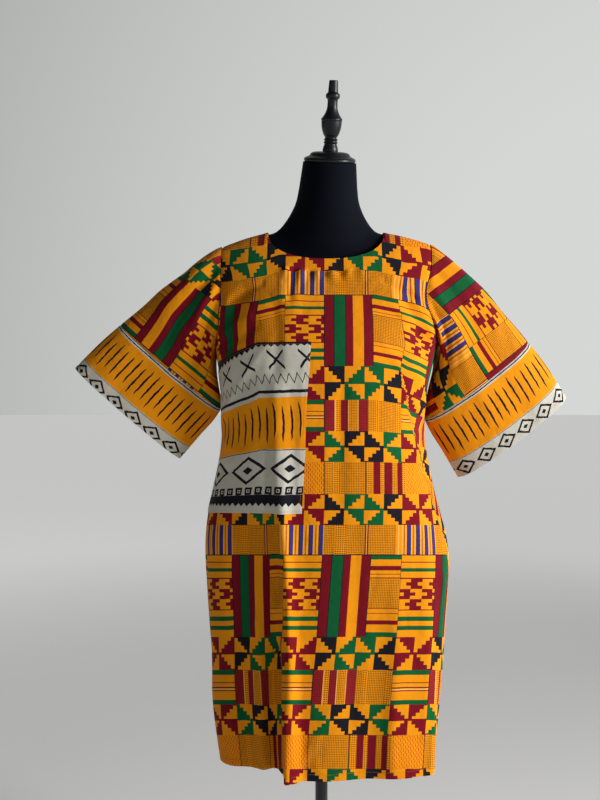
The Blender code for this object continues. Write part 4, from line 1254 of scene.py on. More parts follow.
class Signal:
    """One output of a shader node, which plain sums can be made with."""

    def __init__(self, board, socket):
        self.board, self.socket = board, socket

    def maths(self, operation, *values):
        """The result of a maths node with these values."""
        return self.board.add("ShaderNodeMath", {"operation": operation}, dict(enumerate(values)))

    def __abs__(self):
        return self.maths("ABSOLUTE", self)

    def floor(self):
        return self.maths("FLOOR", self)

    def near(self, other, reach):
        """1 where this is within reach of the other, and otherwise 0."""
        return self.maths("COMPARE", self, other, reach)

    __add__ = __radd__ = joined_by("ADD")
    __mul__ = __rmul__ = joined_by("MULTIPLY")
    __sub__, __rsub__ = joined_by("SUBTRACT"), joined_by("SUBTRACT", True)
    __truediv__, __mod__ = joined_by("DIVIDE"), joined_by("FLOORED_MODULO")
    __lt__, __gt__, larger = joined_by("LESS_THAN"), joined_by("GREATER_THAN"), joined_by("MAXIMUM")


class Board:
    """The node tree of one material, or of the room's light."""

    def __init__(self, name, store=None):
        self.owner = (bpy.data.materials if store is None else store).new(name)
        self.owner.use_nodes = True
        self.tree = self.owner.node_tree
        self.tree.nodes.clear()

    def add(self, kind, settings=None, inputs=None, output=0):
        """A node of this kind, with its settings and then the values or links of its sockets."""
        node = self.tree.nodes.new(kind)
        for word, value in (settings or {}).items():
            if word == "stops":
                for n, (place, colour) in enumerate(value):
                    stop = node.color_ramp.elements[n] if n < 2 else node.color_ramp.elements.new(place)
                    stop.position, stop.color = place, colour
            elif word == "interpolation":
                node.color_ramp.interpolation = value
            else:
                setattr(node, word, value)
        for key, value in (inputs or {}).items():
            if isinstance(value, Signal):
                self.tree.links.new(value.socket, node.inputs[key])
            else:
                node.inputs[key].default_value = value
        return Signal(self, node.outputs[output]) if node.outputs else None

    def ramp(self, value, stops, interpolation="CONSTANT"):
        """A colour ramp with these stops, which are pairs of place and colour."""
        return self.add("ShaderNodeValToRGB", {"interpolation": interpolation, "stops": stops}, {0: value})

    def choose(self, mask, yes, no):
        """One value where the mask is 1, and the other where it is 0."""
        return self.add("ShaderNodeMix", {"data_type": "FLOAT"}, {0: mask, 2: no, 3: yes})

    def tint(self, share, first, second, way="MIX"):
        """Two colours mixed by this share of the second."""
        inputs = {0: share, 6: first, 7: second}
        return self.add("ShaderNodeMix", {"data_type": "RGBA", "blend_type": way}, inputs, 2)

    def surface(self, inputs):
        """The finished material, with one principled shader."""
        shader = self.add("ShaderNodeBsdfPrincipled", {}, inputs)
        self.add("ShaderNodeOutputMaterial", {}, {"Surface": shader})
        return self.owner

    def cloth_place(self):
        """The cloth's own map, and how far across and down it each place is in millimetres."""
        place = self.add("ShaderNodeUVMap", {"uv_map": "cloth"})
        across = self.add("ShaderNodeSeparateXYZ", {}, {0: place})
        down = Signal(self, across.socket.node.outputs[1])
        return place, across * 1000, down * 1000

    def own_place(self):
        """The place on the piece itself."""
        return self.add("ShaderNodeTexCoord", {}, {}, 3)

    def noise(self, place, scale, detail):
        """Soft noise from 0 to 1."""
        return self.add("ShaderNodeTexNoise", {}, {"Vector": place, "Scale": scale, "Detail": detail})

    def bump(self, height, distance, strength):
        """The surface's direction with this height on it."""
        return self.add("ShaderNodeBump", {}, {"Strength": strength, "Distance": distance, "Height": height})


# The print is charted in millimetres. A block lists widths and fills, from its left edge or its top.
# A fill is one colour, or a small texture of a ground and an ink.
FILLS = ("orange", "maroon", "green", "black", "blue", "peach", "check", "dots", "weave", "rain", "bricks")
FILL_STEPS = 32
FILL_NEAR = 0.4 / FILL_STEPS
GROUNDS = {"check": "orange", "dots": "orange", "weave": "maroon", "rain": "orange", "bricks": "orange"}
INKS = {"check": "umber", "dots": "brown", "weave": "red", "rain": "rust", "bricks": "maroon"}
REPEAT_ACROSS, REPEAT_DOWN = 217, 492
COLUMN_B, COLUMN_C = 72, 160
ROW_STARTS = (54, 202, 261, 322, 378, 438)
ROW_2_TALL, ROW_4_TALL = ROW_STARTS[1] - ROW_STARTS[0], ROW_STARTS[3] - ROW_STARTS[2]
# The middle of a brick is shifted to the left on an even row, and to the right on an odd one
BRICK_TOP, BRICK_HEIGHT, BRICK_PITCH, BRICK_START = 43, 18.33, 45, 21.2
BRICK_TO_LEFT, BRICK_TO_RIGHT = 9, 10
BLOCK_LINE = 0.8
# The stepped triangles stand in squares, two above each other in each of the rows 3, 5 and 7: the squares'
# width and heights, and the stair's count of steps, its first rise, its slope and the line between squares
STEP_SQUARE = REPEAT_ACROSS / 6
STEP_HEIGHTS = (29.5, 28.0, 27.0)
STEP_COUNT, STEP_START, STEP_SLOPE, STEP_LINE = 5, 0.33, 4.3, 0.06
# The small textures: their pitch across and down, how much of it is ink, how far each column slips down,
# and whether the ink fills the lines or only their crossings
Texture = namedtuple("Texture", "across down ink_across ink_down slip lines")
TEXTURES = {
    "check": Texture(3.1, 3.1, 0.6, 0.6, 0.0, True),
    "dots": Texture(4.1, 3.9, 2.2, 1.8, 0.0, False),
    "weave": Texture(3.0, 3.0, 0.6, 0.6, 0.0, True),
    "rain": Texture(3.3, 9.4, 1.3, 6.0, 5.3, False),
}
STRIPES = (
    (1.2, "black"), (7.0, "blue"), (1.6, "peach"), (2.4, "orange"),
    (1.2, "maroon"), (2.2, "orange"), (1.0, "peach"), (1.4, "orange"),
)
STRIPE_PITCH, STRIPE_START, STRIPES_END = 18, 9.8, 73
ROW_1 = (
    (STRIPES_END, "orange"), (20, "check"), (19, "dots"), (34, "check"), (1.4, "orange"), (2.4, "maroon"),
    (1.4, "peach"), (2.4, "maroon"), (1.4, "orange"), (48, "check"), (1.2, "maroon"), (5, "orange"),
    (2, "peach"), (20, "orange"),
)
ROW_2_A = (
    (11.8, "orange"), (1.5, "maroon"), (10.2, "orange"), (6.5, "green"), (11, "orange"), (2, "maroon"),
    (55, "bricks"), (1.5, "maroon"), (11.5, "orange"), (8, "green"), (8.5, "orange"), (7.5, "green"),
    (20, "orange"),
)
ROW_2_B = (
    (16.5, "maroon"), (1.5, "black"), (19.5, "green"), (1.5, "black"), (12.6, "maroon"), (19.5, "orange"),
    (20, "maroon"),
)
ROW_2_C = (
    (7.6, "green"), (11.7, "orange"), (8.3, "maroon"), (6, "orange"), (1.5, "maroon"), (5, "orange"),
    (1.5, "maroon"), (54, "check"), (1.5, "maroon"), (7, "orange"), (1.5, "maroon"), (12, "orange"),
    (7.6, "maroon"), (14, "orange"), (20, "green"),
)
ROW_4_A = (
    (8.5, "green"), (13, "orange"), (1.5, "maroon"), (7, "orange"), (2.4, "maroon"), (3, "peach"),
    (1.8, "maroon"), (15.5, "orange"), (20, "green"),
)
ROW_4_REST = (
    (COLUMN_B, "orange"), (18.5, "weave"), (1.4, "peach"), (9, "dots"), (14, "weave"), (1.4, "peach"),
    (16, "check"), (1.6, "peach"), (17, "weave"), (12, "check"), (8.5, "dots"), (34, "check"), (20, "dots"),
)
ROW_6 = (
    (8, "dots"), (64, "rain"), (16, "check"), (11, "dots"), (47, "check"), (1.5, "black"), (14, "dots"),
    (12.5, "maroon"), (8, "dots"), (15, "maroon"), (10, "check"), (10, "maroon"), (20, "dots"),
)
STEPS_OUTER = ("maroon", "maroon", "black", "green", "green", "black")
STEPS_MIDDLE = ("maroon", "maroon", "green", "black", "black", "green")


def fill_code(fill):
    """The grey that stands for a fill inside the print's nodes."""
    return (FILLS.index(fill) + 0.5) / FILL_STEPS


def block(board, value, widths, length):
    """The fill codes of a block along one measure."""
    stops, place = [], 0.0
    for width, fill in widths:
        stops.append((place / length, (fill_code(fill),) * 3 + (1.0,)))
        place += width
    return board.ramp(value / length, [stop for stop in stops if stop[0] < 1.0])


def texture_ink(across, down, texture):
    """Where the ink of a small texture is."""
    columns = across % texture.across < texture.ink_across
    if texture.slip:
        down = down + (across / texture.across).floor() * texture.slip
    rows = down % texture.down < texture.ink_down
    return columns.larger(rows) if texture.lines else columns * rows


def kente(name, colours, wrong_side=0.0):
    """The woven-strip print, as a material for the right side of the cloth or its paler wrong side."""
    board = Board(name)
    place, across, down = board.cloth_place()
    u, v = across % REPEAT_ACROSS, down % REPEAT_DOWN
    beyond = [v > start for start in ROW_STARTS]
    starts, own = (0,) + ROW_STARTS, v
    for last, start, mask in zip(starts, ROW_STARTS, beyond):
        own = own - mask * (start - last)
    in_a, in_c = u < COLUMN_B, u > COLUMN_C
    odd = (own - BRICK_TOP) / BRICK_HEIGHT
    level = odd.floor()
    odd_row = level.near(1, 0.1)
    middle = ((odd - level) * 3).floor().near(1, 0.1)
    start = odd_row * (BRICK_PITCH / 2)
    start = start + middle * (odd_row * (BRICK_TO_LEFT + BRICK_TO_RIGHT) - BRICK_TO_LEFT) + BRICK_START
    bricks = (u - start) % BRICK_PITCH < BRICK_PITCH / 2
    left = block(board, own, ROW_2_A, ROW_2_TALL)
    row_2 = board.choose(in_a, left, block(board, u - COLUMN_B, ROW_2_B, COLUMN_C - COLUMN_B))
    row_2 = board.choose(in_c, block(board, own, ROW_2_C, ROW_2_TALL), row_2)
    left = block(board, own, ROW_4_A, ROW_4_TALL)
    row_4 = board.choose(in_a, left, block(board, u, ROW_4_REST, REPEAT_ACROSS))
    square = u / STEP_SQUARE
    row_3_tall, row_5_tall, row_7_tall = STEP_HEIGHTS
    half = own / board.choose(beyond[2], board.choose(beyond[5], row_7_tall, row_5_tall), row_3_tall)
    turned = beyond[2]
    flip_across = abs(half.floor() - turned)
    flip_down = abs(square.floor() % 2 - turned)
    p, q = abs(flip_across - square % 1), abs(flip_down - half % 1)
    stair = ((p * STEP_COUNT).floor() + STEP_START) / STEP_SLOPE
    stepped = (q < stair).larger(abs(half - 1) < STEP_LINE)
    outer = block(board, square, [(1, fill) for fill in STEPS_OUTER], 6)
    middle_row = block(board, square, [(1, fill) for fill in STEPS_MIDDLE], 6)
    in_row_5 = beyond[3] - beyond[4]
    steps = board.choose(stepped, board.choose(in_row_5, middle_row, outer), fill_code("orange"))
    stripes = block(board, (u - STRIPE_START) % STRIPE_PITCH, STRIPES, STRIPE_PITCH)
    code = board.choose(u < STRIPES_END, stripes, block(board, u, ROW_1, REPEAT_ACROSS))
    for mask, row in zip(beyond, (row_2, steps, row_4, steps, block(board, u, ROW_6, REPEAT_ACROSS), steps)):
        code = board.choose(mask, row, code)
    strips = beyond[0] - beyond[1] + beyond[2] - beyond[3] + beyond[4] - beyond[5]
    in_row_2 = beyond[0] - beyond[1]
    line = (abs(u - COLUMN_B) < BLOCK_LINE).larger(u < BLOCK_LINE)
    line = line.larger((abs(u - COLUMN_C) < BLOCK_LINE) * in_row_2)
    line = (line * strips).larger(abs(v - ROW_STARTS[0]) < BLOCK_LINE)
    code = board.choose(line, fill_code("black"), code)
    masks = {fill: texture_ink(across, down, texture) for fill, texture in TEXTURES.items()}
    ink = bricks * code.near(fill_code("bricks"), FILL_NEAR)
    for fill, mask in masks.items():
        ink = ink + mask * code.near(fill_code(fill), FILL_NEAR)
    grounds, inks = (
        [(n / FILL_STEPS, colours[names.get(fill, fill)]) for n, fill in enumerate(FILLS)]
        for names in (GROUNDS, INKS)
    )
    colour = board.tint(ink, board.ramp(code, grounds), board.ramp(code, inks))
    return cotton(board, place, across, down, colour, colours["paper"], wrong_side)


# Cotton: how close together its clouds of dye, threads, slubs and crumples are, and how much they show
CLOUD_SCALE, THREAD_PACE, SLUB_SCALE, CRUMPLE_SCALE = 9.0, 9.0, 260.0, 15.0
CLOUD_SHARE, THREAD_HEIGHT, CRUMPLE_HEIGHT, RELIEF = 0.16, 0.15, 70.0, 0.00012
CLOUD_TINT = (150, 90, 50)


def cotton(board, place, across, down, colour, paper, wrong_side):
    """Matt printed cotton: uneven dye, a plain weave's threads, faint crumples and a paler wrong side."""
    cloudy = board.noise(place, CLOUD_SCALE, 3.0)
    colour = board.tint(cloudy * CLOUD_SHARE, colour, linear(*CLOUD_TINT), "MULTIPLY")
    if wrong_side:
        colour = board.tint(wrong_side, colour, paper)
    warp = (across * THREAD_PACE).maths("SINE", across * THREAD_PACE)
    threads = warp + (down * THREAD_PACE).maths("SINE", down * THREAD_PACE)
    slubs = board.noise(place, SLUB_SCALE, 2.0)
    crumples = abs(board.noise(place, CRUMPLE_SCALE, 3.0) - 0.5)
    normal = board.bump(threads * THREAD_HEIGHT + slubs + crumples * CRUMPLE_HEIGHT, RELIEF, 0.6)
    return board.surface({
        "Base Color": colour, "Roughness": 0.85, "Specular IOR Level": 0.15, "Sheen Weight": 0.03,
        "Normal": normal,
    })


# How much of the print doesn't come through to the wrong side
WRONG_SIDE = 0.35

# The border print: bands of plain marks, each given as its height in millimetres, its kind and its ground.
CUFF_ZONES = (
    (7, "line", "white"), (87, "strokes", "orange"), (3, "line", "white"), (34, "diamonds", "white"),
    (6, "line", "white"),
)
PATCH_ZONES = (
    (16, "teeth", "white"), (42, "crosses", "white"), (26, "peaks", "white"), (18, "line", "white"),
    (92, "strokes", "orange"), (5, "line", "white"), (62, "diamonds", "white"), (15, "squares", "white"),
    (34, "teeth", "white"),
)
STROKE_PITCH, TOOTH_PITCH, PEAK_PITCH = 15.5, 12.0, 15.0


def mark(kind, across, own, height):
    """Where the ink is in one band of the border print, by shares of its height and by millimetres."""
    if kind == "line":
        return (own > height * 0.35) * (own < height * 0.65)
    if kind == "teeth":
        return own < height * 0.45 + abs(across % TOOTH_PITCH - TOOTH_PITCH / 2) * 1.1
    if kind == "peaks":
        return abs(own - height * 0.15 - abs(across % PEAK_PITCH - PEAK_PITCH / 2) * 2.2) < 1.8
    if kind == "strokes":
        number = (across / STROKE_PITCH).floor() * 2.4
        reach = (own - height / 2 + number.maths("SINE", number) * 5.0) / (height * 0.36)
        square = reach * reach
        return abs(across % STROKE_PITCH - STROKE_PITCH / 2) < 1.9 - square * square * 1.9
    pitch = height * 1.35
    x, y = abs(across % pitch - pitch / 2), abs(own - height / 2)
    if kind == "crosses":
        return (abs(x - y) < 3.0) * (x < height * 0.36)
    if kind == "diamonds":
        out = x * 0.7 + y
        return (abs(out - height * 0.38) < height * 0.03 + 1.3).larger(out < height * 0.12)
    return (abs(x.larger(y) - height * 0.34) < height * 0.04 + 1.4).larger(x + y < 2.4)


def border(name, zones, colours, wrong_side=0.0):
    """The border print, in bands from the top down."""
    board = Board(name)
    place, across, down = board.cloth_place()
    waver = board.noise(place, 90.0, 1.0) - 0.5
    side = across + waver * 3.0
    total = sum(height for height, _, _ in zones)
    stops, ink, start = [], None, 0.0
    for height, kind, ground in zones:
        stops.append((start / total, colours[ground]))
        inside = (down > start) * (down < start + height)
        own = mark(kind, side, down - start + waver * 2.0, height) * inside
        ink = own if ink is None else ink + own
        start += height
    colour = board.tint(ink, board.ramp(down / total, stops), colours["black"])
    return cotton(board, place, across, down, colour, colours["paper"], wrong_side)


def jersey(name, colour):
    """Black jersey drawn smooth over foam: a fine knit with a soft sheen."""
    board = Board(name)
    place = board.own_place()
    knit = board.noise(place, 900.0, 2.0)
    dust = board.noise(place, 14.0, 3.0)
    shade = board.tint(dust, colour, deeper(colour, 1.9))
    normal = board.bump(knit, 0.0002, 0.5)
    return board.surface({
        "Base Color": shade, "Roughness": 0.8, "Specular IOR Level": 0.07, "Sheen Weight": 0.015,
        "Normal": normal,
    })


# How rough a painted surface is where fresh and where worn, its clear coat, and how fine the wear is
Gloss = namedtuple("Gloss", "fresh worn coat scale")
LACQUER_GLOSS = Gloss(0.36, 0.48, 0.1, 30.0)
POLE_GLOSS = Gloss(0.28, 0.42, 0.2, 22.0)
BASE_GLOSS = Gloss(0.14, 0.3, 0.6, 16.0)


def painted(name, colour, gloss):
    """A painted or lacquered hard surface, with faint wear in its gloss."""
    board = Board(name)
    wear = board.noise(board.own_place(), gloss.scale, 4.0)
    rough = board.choose(wear, gloss.worn, gloss.fresh)
    shade = board.tint(wear, colour, deeper(colour, 1.6))
    normal = board.bump(wear, 0.0003, 0.15)
    return board.surface({
        "Base Color": shade, "Roughness": rough, "Specular IOR Level": 0.3, "Coat Weight": gloss.coat,
        "Normal": normal,
    })


def plain_thread(name, colour):
    """Sewing thread, a little uneven."""
    board = Board(name)
    twist = board.noise(board.own_place(), 1500.0, 1.0)
    return board.surface({"Base Color": board.tint(twist, colour, deeper(colour, 0.6)), "Roughness": 0.7})


# The floor's glow comes in over this far from its middle, between the two shares
GLOW_REACH = 6.0
GLOW_FROM, GLOW_TO = 0.15, 0.85
GLOW_STRENGTH = 0.39


def plain_floor():
    """A pale painted floor that glows softly far off, so that it runs into the room behind."""
    board = Board("floor")
    place = board.own_place()
    cloud = board.noise(place, 1.4, 2.0)
    shade = board.tint(cloud, linear(228, 228, 226), linear(234, 234, 232))
    far = board.add("ShaderNodeVectorMath", {"operation": "LENGTH"}, {0: place}, 1) / GLOW_REACH
    glow = board.ramp(far, ((GLOW_FROM, (0.2, 0.2, 0.2, 1.0)), (GLOW_TO, (1.0, 1.0, 1.0, 1.0))), "EASE")
    return board.surface({
        "Base Color": shade, "Roughness": 0.9, "Emission Color": glow, "Emission Strength": GLOW_STRENGTH,
    })


# Cloth pieces

@functools.lru_cache(maxsize=None)
def dress_cloth(crease_scale):
    """The front and the back at full fineness."""
    return fine_panel(FRONT, crease_scale), fine_panel(BACK, crease_scale)


@functools.lru_cache(maxsize=None)
def sleeve_cloth(crease_scale):
    """Each sleeve with its band at full fineness."""
    panels = dress_cloth(crease_scale)
    return {word: fine_sleeve(sleeve, *panels, crease_scale) for word, sleeve in SLEEVES.items()}


def hemmed(run_to_edge, sizes, depth):
    """The cloth's thickness, which is doubled where the hem is turned up."""
    return sizes.cloth_thickness * (1.0 + np.clip((depth + HEM_FOLD - run_to_edge) / HEM_FOLD, 0.0, 1.0))


def panel_piece(name, node, cloth, placed, context):
    """The front or the back as a thin shell."""
    sizes, colours = settings(context)
    up = run_from(cloth.grid, 0)
    thick = hemmed(up, sizes, HEM_DEPTH)
    piece = shell(name, cloth.grid, cloth.out, thick, print_pair("kente", kente, colours), placed(cloth.bare))
    flat = run_from(cloth.bare, 1)[:, -1].max(), up[-1].max()
    declared(piece, node, flat)


def tube_piece(name, node, cloth, thick, materials, at, next_at, rests_on):
    """A sleeve or a band as a thin shell."""
    piece = shell(name, cloth.grid, cloth.out, thick, materials, at, next_at)
    starts, ends = around(cloth.bare)
    flat = (ends - starts).sum(axis=1).max(), run_from(cloth.bare, 0).max()
    declared(piece, node, flat)


# The dress form

def smooth_torso(sides):
    """The padded torso with its neck, ring by ring at full fineness."""
    rings = np.array(TORSO)
    end = len(rings) - 1
    places = np.concatenate((np.arange(0, 1, TORSO_FIRST_STEP), np.arange(1, end, TORSO_STEP), [float(end)]))
    found = [torso_ring(Torso(*row), sides) for row in read_off(rings, places)]
    last = np.array(found[-1])
    top = np.array(neck_top(sides))
    for share in NECK_SHARES:
        found.append(last * (1 - share) + top * share)
    return np.array(found)


def turned_rings(profile, sides, turn=None, seat=(0.0, 0.0, 0.0), step=0.25):
    """The rings of a turned piece, rounded between its profile's points, or straight where step is 1."""
    rows = np.array(profile)
    places = np.arange(0, len(rows) - 0.99, step)
    fine = read_off(rows, places)
    angles = np.linspace(0, 2 * math.pi, sides, endpoint=False)
    rings = np.zeros((len(fine), sides, 3))
    rings[..., 0] = fine[:, 1:] * np.cos(angles)
    rings[..., 1] = fine[:, 1:] * np.sin(angles)
    rings[..., 2] = fine[:, :1]
    if turn is not None:
        rings = rings @ np.array(turn).T
    return rings + np.array(seat)


# Settings

def length_setting(name, description, default):
    """A length that the user may change."""
    return FloatProperty(
        name=name, description=description, default=default, subtype="DISTANCE", unit="LENGTH",
    )


def light_setting(name, description, default, unit="NONE"):
    """The strength of a light, which the user may change."""
    return FloatProperty(name=name, description=description, default=default, min=0.0, unit=unit)


def colour_setting(name, description, *shades):
    """A colour that the user may change."""
    return FloatVectorProperty(
        name=name, description=description, default=linear(*shades),
        size=4, min=0.0, max=1.0, subtype="COLOR",
    )


class DressSizes(bpy.types.PropertyGroup):
    """Sizes of the cloth and of its sewing."""

    cloth_thickness: length_setting("Cloth thickness", "Thickness of one layer of the cotton", 0.0008)
    crease_scale: FloatProperty(
        name="Crease height", description="How high the small creases are, as a share of those in the photo",
        default=1.25, min=0.0, max=2.0,
    )
    stitch_pitch: length_setting("Stitch pitch", "From one stitch to the next", 0.0034)
    stitch_length: length_setting("Stitch length", "Length of thread that shows in one stitch", 0.0026)
    stitch_width: length_setting("Thread width", "Width of the sewing thread", 0.0006)
    form_around: IntProperty(
        name="Form sides", description="Number of faces round the dress form", default=96, min=24, max=256,
    )


class DressColours(bpy.types.PropertyGroup):
    """Colours of the print, the sewing and the dress form."""

    orange: colour_setting("Orange", "Ground of the woven-strip print", 244, 152, 4)
    maroon: colour_setting("Maroon", "Main dark colour of the print", 122, 4, 26)
    red: colour_setting("Red", "Fine lines of the maroon strips", 160, 44, 40)
    green: colour_setting("Green", "Green of the print", 0, 92, 46)
    black: colour_setting("Black", "Black of the prints", 22, 20, 30)
    blue: colour_setting("Blue", "Blue of the striped strip", 58, 48, 120)
    peach: colour_setting("Peach", "Light stripes of the print", 248, 182, 92)
    umber: colour_setting("Umber", "Fine lines of the checked strips", 98, 50, 10)
    brown: colour_setting("Brown", "Small dots of the print", 92, 22, 14)
    rust: colour_setting("Rust", "Short strokes of the print", 205, 66, 12)
    white: colour_setting("Off-white", "Ground of the border print", 205, 202, 188)
    paper: colour_setting("Wrong side", "What the wrong side of the cloth fades to", 205, 190, 165)
    thread: colour_setting("Thread", "Sewing thread", 205, 130, 30)
    jersey: colour_setting("Jersey", "Cover of the dress form", 3, 5, 13)
    lacquer: colour_setting("Lacquer", "Turned cap, finial and base", 9, 11, 15)
    steel: colour_setting("Pole", "Painted pole", 20, 20, 22)


class StageLights(bpy.types.PropertyGroup):
    """Strength of the studio light."""

    key: light_setting("Key light", "Large soft light at the right", 61.0, "POWER")
    fill: light_setting("Fill light", "Weak soft light at the left", 0.4, "POWER")
    wall: light_setting("Wall behind", "Brightness of the room behind the dress", 0.7)
    front: light_setting("Room in front", "Brightness of the room in front of the dress", 0.065)


COLOUR_NAMES = tuple(DressColours.__annotations__)


def settings(context):
    """The sizes and the colours that the user has set."""
    scene = context.scene
    return scene.dress_sizes, {name: tuple(getattr(scene.dress_colours, name)) for name in COLOUR_NAMES}


def material_for(name, make, *details):
    """The material of this name, which is made when it is first asked for."""
    return bpy.data.materials.get(name) or make(name, *details)


def print_pair(name, make, *details):
    """A print's right side, and its wrong side that fades to the colour of the paper."""
    return (
        material_for(name, make, *details),
        material_for(name + "_wrong_side", make, *details, WRONG_SIDE),
    )


# Operators

class MakeFront(bpy.types.Operator):
    """The front of the dress, cut in one piece with a dart at each side of the bust"""

    bl_idname = "dress.front"
    bl_label = "Front"

    def execute(self, context):
        cloth, _ = dress_cloth(context.scene.dress_sizes.crease_scale)
        panel_piece("front_cloth", "front_panel", cloth, print_on_front, context)
        return {"FINISHED"}


class MakeBack(bpy.types.Operator):
    """The back of the dress, cut in one piece"""

    bl_idname = "dress.back"
    bl_label = "Back"

    def execute(self, context):
        _, cloth = dress_cloth(context.scene.dress_sizes.crease_scale)
        panel_piece("back_cloth", "back_panel", cloth, print_on_back, context)
        return {"FINISHED"}


class MakeSleeves(bpy.types.Operator):
    """The two wide sleeves and their border bands"""

    bl_idname = "dress.sleeves"
    bl_label = "Sleeves and bands"

    def execute(self, context):
        sizes, colours = settings(context)
        for word, (sleeve, band) in sleeve_cloth(sizes.crease_scale).items():
            given = SLEEVES[word]
            starts, ends = around(sleeve.bare)
            up = distance_up(sleeve.bare, given.table, given.side)
            tube_piece(
                word + "_sleeve_cloth", word + "_sleeve", sleeve,
                np.full(starts.shape, sizes.cloth_thickness), print_pair("kente", kente, colours),
                print_on_sleeve(given.lie, up, starts),
                print_on_sleeve(given.lie, np.roll(up, -1, axis=1), ends),
                "front_cloth",
            )
            starts, ends = around(band.bare)
            run = run_from(band.bare, 0)
            tube_piece(
                word + "_cuff_band_cloth", word + "_cuff_band", band,
                hemmed(run[-1:] - run, sizes, CUFF_HEM_DEPTH),
                print_pair("cuff_print", border, CUFF_ZONES, colours),
                (starts, run), (ends, np.roll(run, -1, axis=1)),
                word + "_sleeve_cloth",
            )
        return {"FINISHED"}


class MakePatch(bpy.types.Operator):
    """The large border-print patch on the front"""

    bl_idname = "dress.patch"
    bl_label = "Patch"

    def execute(self, context):
        sizes, colours = settings(context)
        front, _ = dress_cloth(sizes.crease_scale)
        outer, out, across, down = fine_patch(front)
        thick = np.full(across.shape, sizes.cloth_thickness)
        materials = print_pair("patch_print", border, PATCH_ZONES, colours)
        piece = shell("front_patch_cloth", outer, out, thick, materials, (across, down))
        flat = across[:, -1].max(), run_from(outer, 0)[-1].max()
        declared(piece, "front_patch", flat)
        return {"FINISHED"}


class MakeStitches(bpy.types.Operator):
    """Rows of stitches at the hems and round the patch"""

    bl_idname = "dress.stitches"
    bl_label = "Stitches"

    def execute(self, context):
        sizes, colours = settings(context)
        thread = material_for("thread", plain_thread, colours["thread"])
        panels = dress_cloth(sizes.crease_scale)
        lines = [line_on(cloth.grid, cloth.out, run_from(cloth.bare, 0), HEM_DEPTH) for cloth in panels]
        stitched("hem_stitches", lines, sizes, thread)
        for word, (_, band) in sleeve_cloth(sizes.crease_scale).items():
            run = run_from(band.bare, 0)
            line = line_on(band.grid, band.out, run - run[-1:], -CUFF_HEM_DEPTH)
            stitched(word + "_cuff_stitches", [np.concatenate((line, line[:1]))], sizes, thread)
        outer, out, _, _ = fine_patch(panels[0])
        stitched("patch_stitches", patch_lines(outer, out), sizes, thread)
        return {"FINISHED"}


class MakeForm(bpy.types.Operator):
    """The padded torso of the dress form, with its turned cap and finial"""

    bl_idname = "dress.form"
    bl_label = "Dress form"

    def execute(self, context):
        sizes, colours = settings(context)
        sides = sizes.form_around
        cover = material_for("black_jersey", jersey, colours["jersey"])
        gloss = material_for("black_lacquer", painted, colours["lacquer"], LACQUER_GLOSS)
        loft("torso_form", "form_torso", smooth_torso(sides), cover, TORSO_SHARP)
        turn = neck_turn()
        up = turn @ Vector((0.0, 0.0, 1.0))
        for name, node, profile, height in (
            ("turned_cap", "neck_cap", CAP_PROFILE, PART_GAP),
            ("turned_finial", "finial", FINIAL_PROFILE, PART_GAP + FINIAL_SEAT),
        ):
            rings = turned_rings(profile, sides, turn, Vector(NECK_TOP) + up * height)
            loft(name, node, rings, gloss, TURNED_SHARP)
        return {"FINISHED"}


class MakeStand(bpy.types.Operator):
    """The pole and the round base"""

    bl_idname = "dress.stand"
    bl_label = "Stand"

    def execute(self, context):
        sizes, colours = settings(context)
        sides = sizes.form_around
        steel = material_for("pole_paint", painted, colours["steel"], POLE_GLOSS)
        paint = material_for("gloss_base_paint", painted, colours["lacquer"], BASE_GLOSS)
        loft("round_base", "stand_base", turned_rings(BASE_PROFILE, sides), paint, STAND_SHARP)
        foot, top = SOCKET_HEIGHT + PART_GAP, TORSO_FOOT_Z - PART_GAP
        profile = (
            (foot, POLE_RADIUS - POLE_CHAMFER), (foot + POLE_CHAMFER, POLE_RADIUS),
            (top - POLE_CHAMFER, POLE_RADIUS), (top, POLE_RADIUS - POLE_CHAMFER),
        )
        rings = turned_rings(profile, sides // 2, step=1.0)
        loft("round_pole", "pole", rings, steel, STAND_SHARP)
        return {"FINISHED"}


FLOOR_REACH = 60.0
SENSOR_WIDTH = 36.0
LAMP_SPREAD = 80
Lamp = namedtuple("Lamp", "name setting size place aim")
LAMPS = rows_of(
    Lamp,
    ("key_light", "key", 1.7, (4.0, -1.7, 2.0), (0.0, 0.0, 1.1)),
    ("fill_light", "fill", 2.0, (-2.4, -2.2, 1.6), (0.0, 0.0, 1.0)),
)
# The room is at its darkest up to the first of these places and at its brightest from the second on
ROOM_DARK_TO, ROOM_BRIGHT_FROM = 0.1, 1.06


def room(lights):
    """A room with a pale wall behind the dress, and less light from its front and left."""
    board = Board("room", bpy.data.worlds)
    right = board.add("ShaderNodeSeparateXYZ", {}, {0: board.add("ShaderNodeTexCoord")})
    back = Signal(board, right.socket.node.outputs[1])
    strength = board.add("ShaderNodeMapRange", {}, {
        0: back + right * 0.5, 1: ROOM_DARK_TO, 2: ROOM_BRIGHT_FROM, 3: lights.front, 4: lights.wall,
    })
    sky = board.add("ShaderNodeBackground", {}, {"Color": linear(250, 252, 250), "Strength": strength})
    board.add("ShaderNodeOutputWorld", {}, {"Surface": sky})
    return board.owner


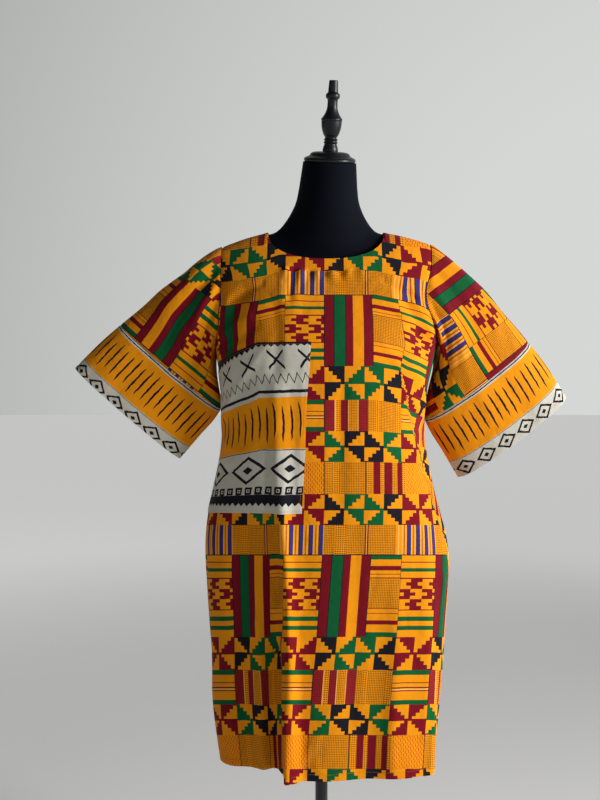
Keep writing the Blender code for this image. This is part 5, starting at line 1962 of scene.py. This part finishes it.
class MakeStage(bpy.types.Operator):
    """The plain floor, the studio light and the camera"""

    bl_idname = "dress.stage"
    bl_label = "Floor, light and camera"

    def execute(self, context):
        scene = context.scene
        lights = scene.stage_lights
        mesh = bpy.data.meshes.new("floor")
        corners = [(x * FLOOR_REACH, y * FLOOR_REACH, 0) for x, y in ((-1, -1), (1, -1), (1, 1), (-1, 1))]
        mesh.from_pydata(corners, [], [(0, 1, 2, 3)])
        mesh.materials.append(plain_floor())
        floor = bpy.data.objects.new("floor", mesh)
        scene.collection.objects.link(floor)
        scene.world = room(lights)
        scene.view_settings.view_transform = "Standard"
        for given in LAMPS:
            lamp = bpy.data.lights.new(given.name, "AREA")
            lamp.energy, lamp.size = getattr(lights, given.setting), given.size
            lamp.spread = math.radians(LAMP_SPREAD)
            light = bpy.data.objects.new(given.name, lamp)
            light.location = given.place
            way = Vector(given.aim) - Vector(given.place)
            light.rotation_euler = way.to_track_quat("-Z", "Y").to_euler()
            scene.collection.objects.link(light)
        lens = bpy.data.cameras.new("camera")
        lens.sensor_width, lens.lens = SENSOR_WIDTH, SENSOR_WIDTH * CAMERA_REACH / PICTURE[1]
        camera = bpy.data.objects.new("camera", lens)
        camera.location = CAMERA_PLACE
        camera.rotation_euler = (math.pi / 2, 0.0, 0.0)
        scene.collection.objects.link(camera)
        scene.camera = camera
        return {"FINISHED"}


OPERATORS = (MakeFront, MakeBack, MakeSleeves, MakePatch, MakeStitches, MakeForm, MakeStand, MakeStage)


class DressPanel(bpy.types.Panel):
    """Lists the settings and the pieces of the dress"""

    bl_idname = "VIEW3D_PT_dress"
    bl_label = "Kente shirt dress"
    bl_space_type = "VIEW_3D"
    bl_region_type = "UI"
    bl_category = "Dress"

    def draw(self, context):
        layout = self.layout
        for group in (context.scene.dress_sizes, context.scene.dress_colours, context.scene.stage_lights):
            box = layout.box()
            for name in type(group).__annotations__:
                box.prop(group, name)
        for operator in OPERATORS:
            layout.operator(operator.bl_idname)


GROUPS = {"dress_sizes": DressSizes, "dress_colours": DressColours, "stage_lights": StageLights}


def register():
    for kind in (*GROUPS.values(), *OPERATORS, DressPanel):
        bpy.utils.register_class(kind)
    for name, kind in GROUPS.items():
        setattr(bpy.types.Scene, name, PointerProperty(type=kind))


def unregister():
    for name in GROUPS:
        delattr(bpy.types.Scene, name)
    for kind in (DressPanel, *reversed(OPERATORS), *reversed(GROUPS.values())):
        bpy.utils.unregister_class(kind)


def main():
    register()
    for operator in OPERATORS:
        group, name = operator.bl_idname.split(".")
        getattr(getattr(bpy.ops, group), name)()


if __name__ == "__main__":
    main()
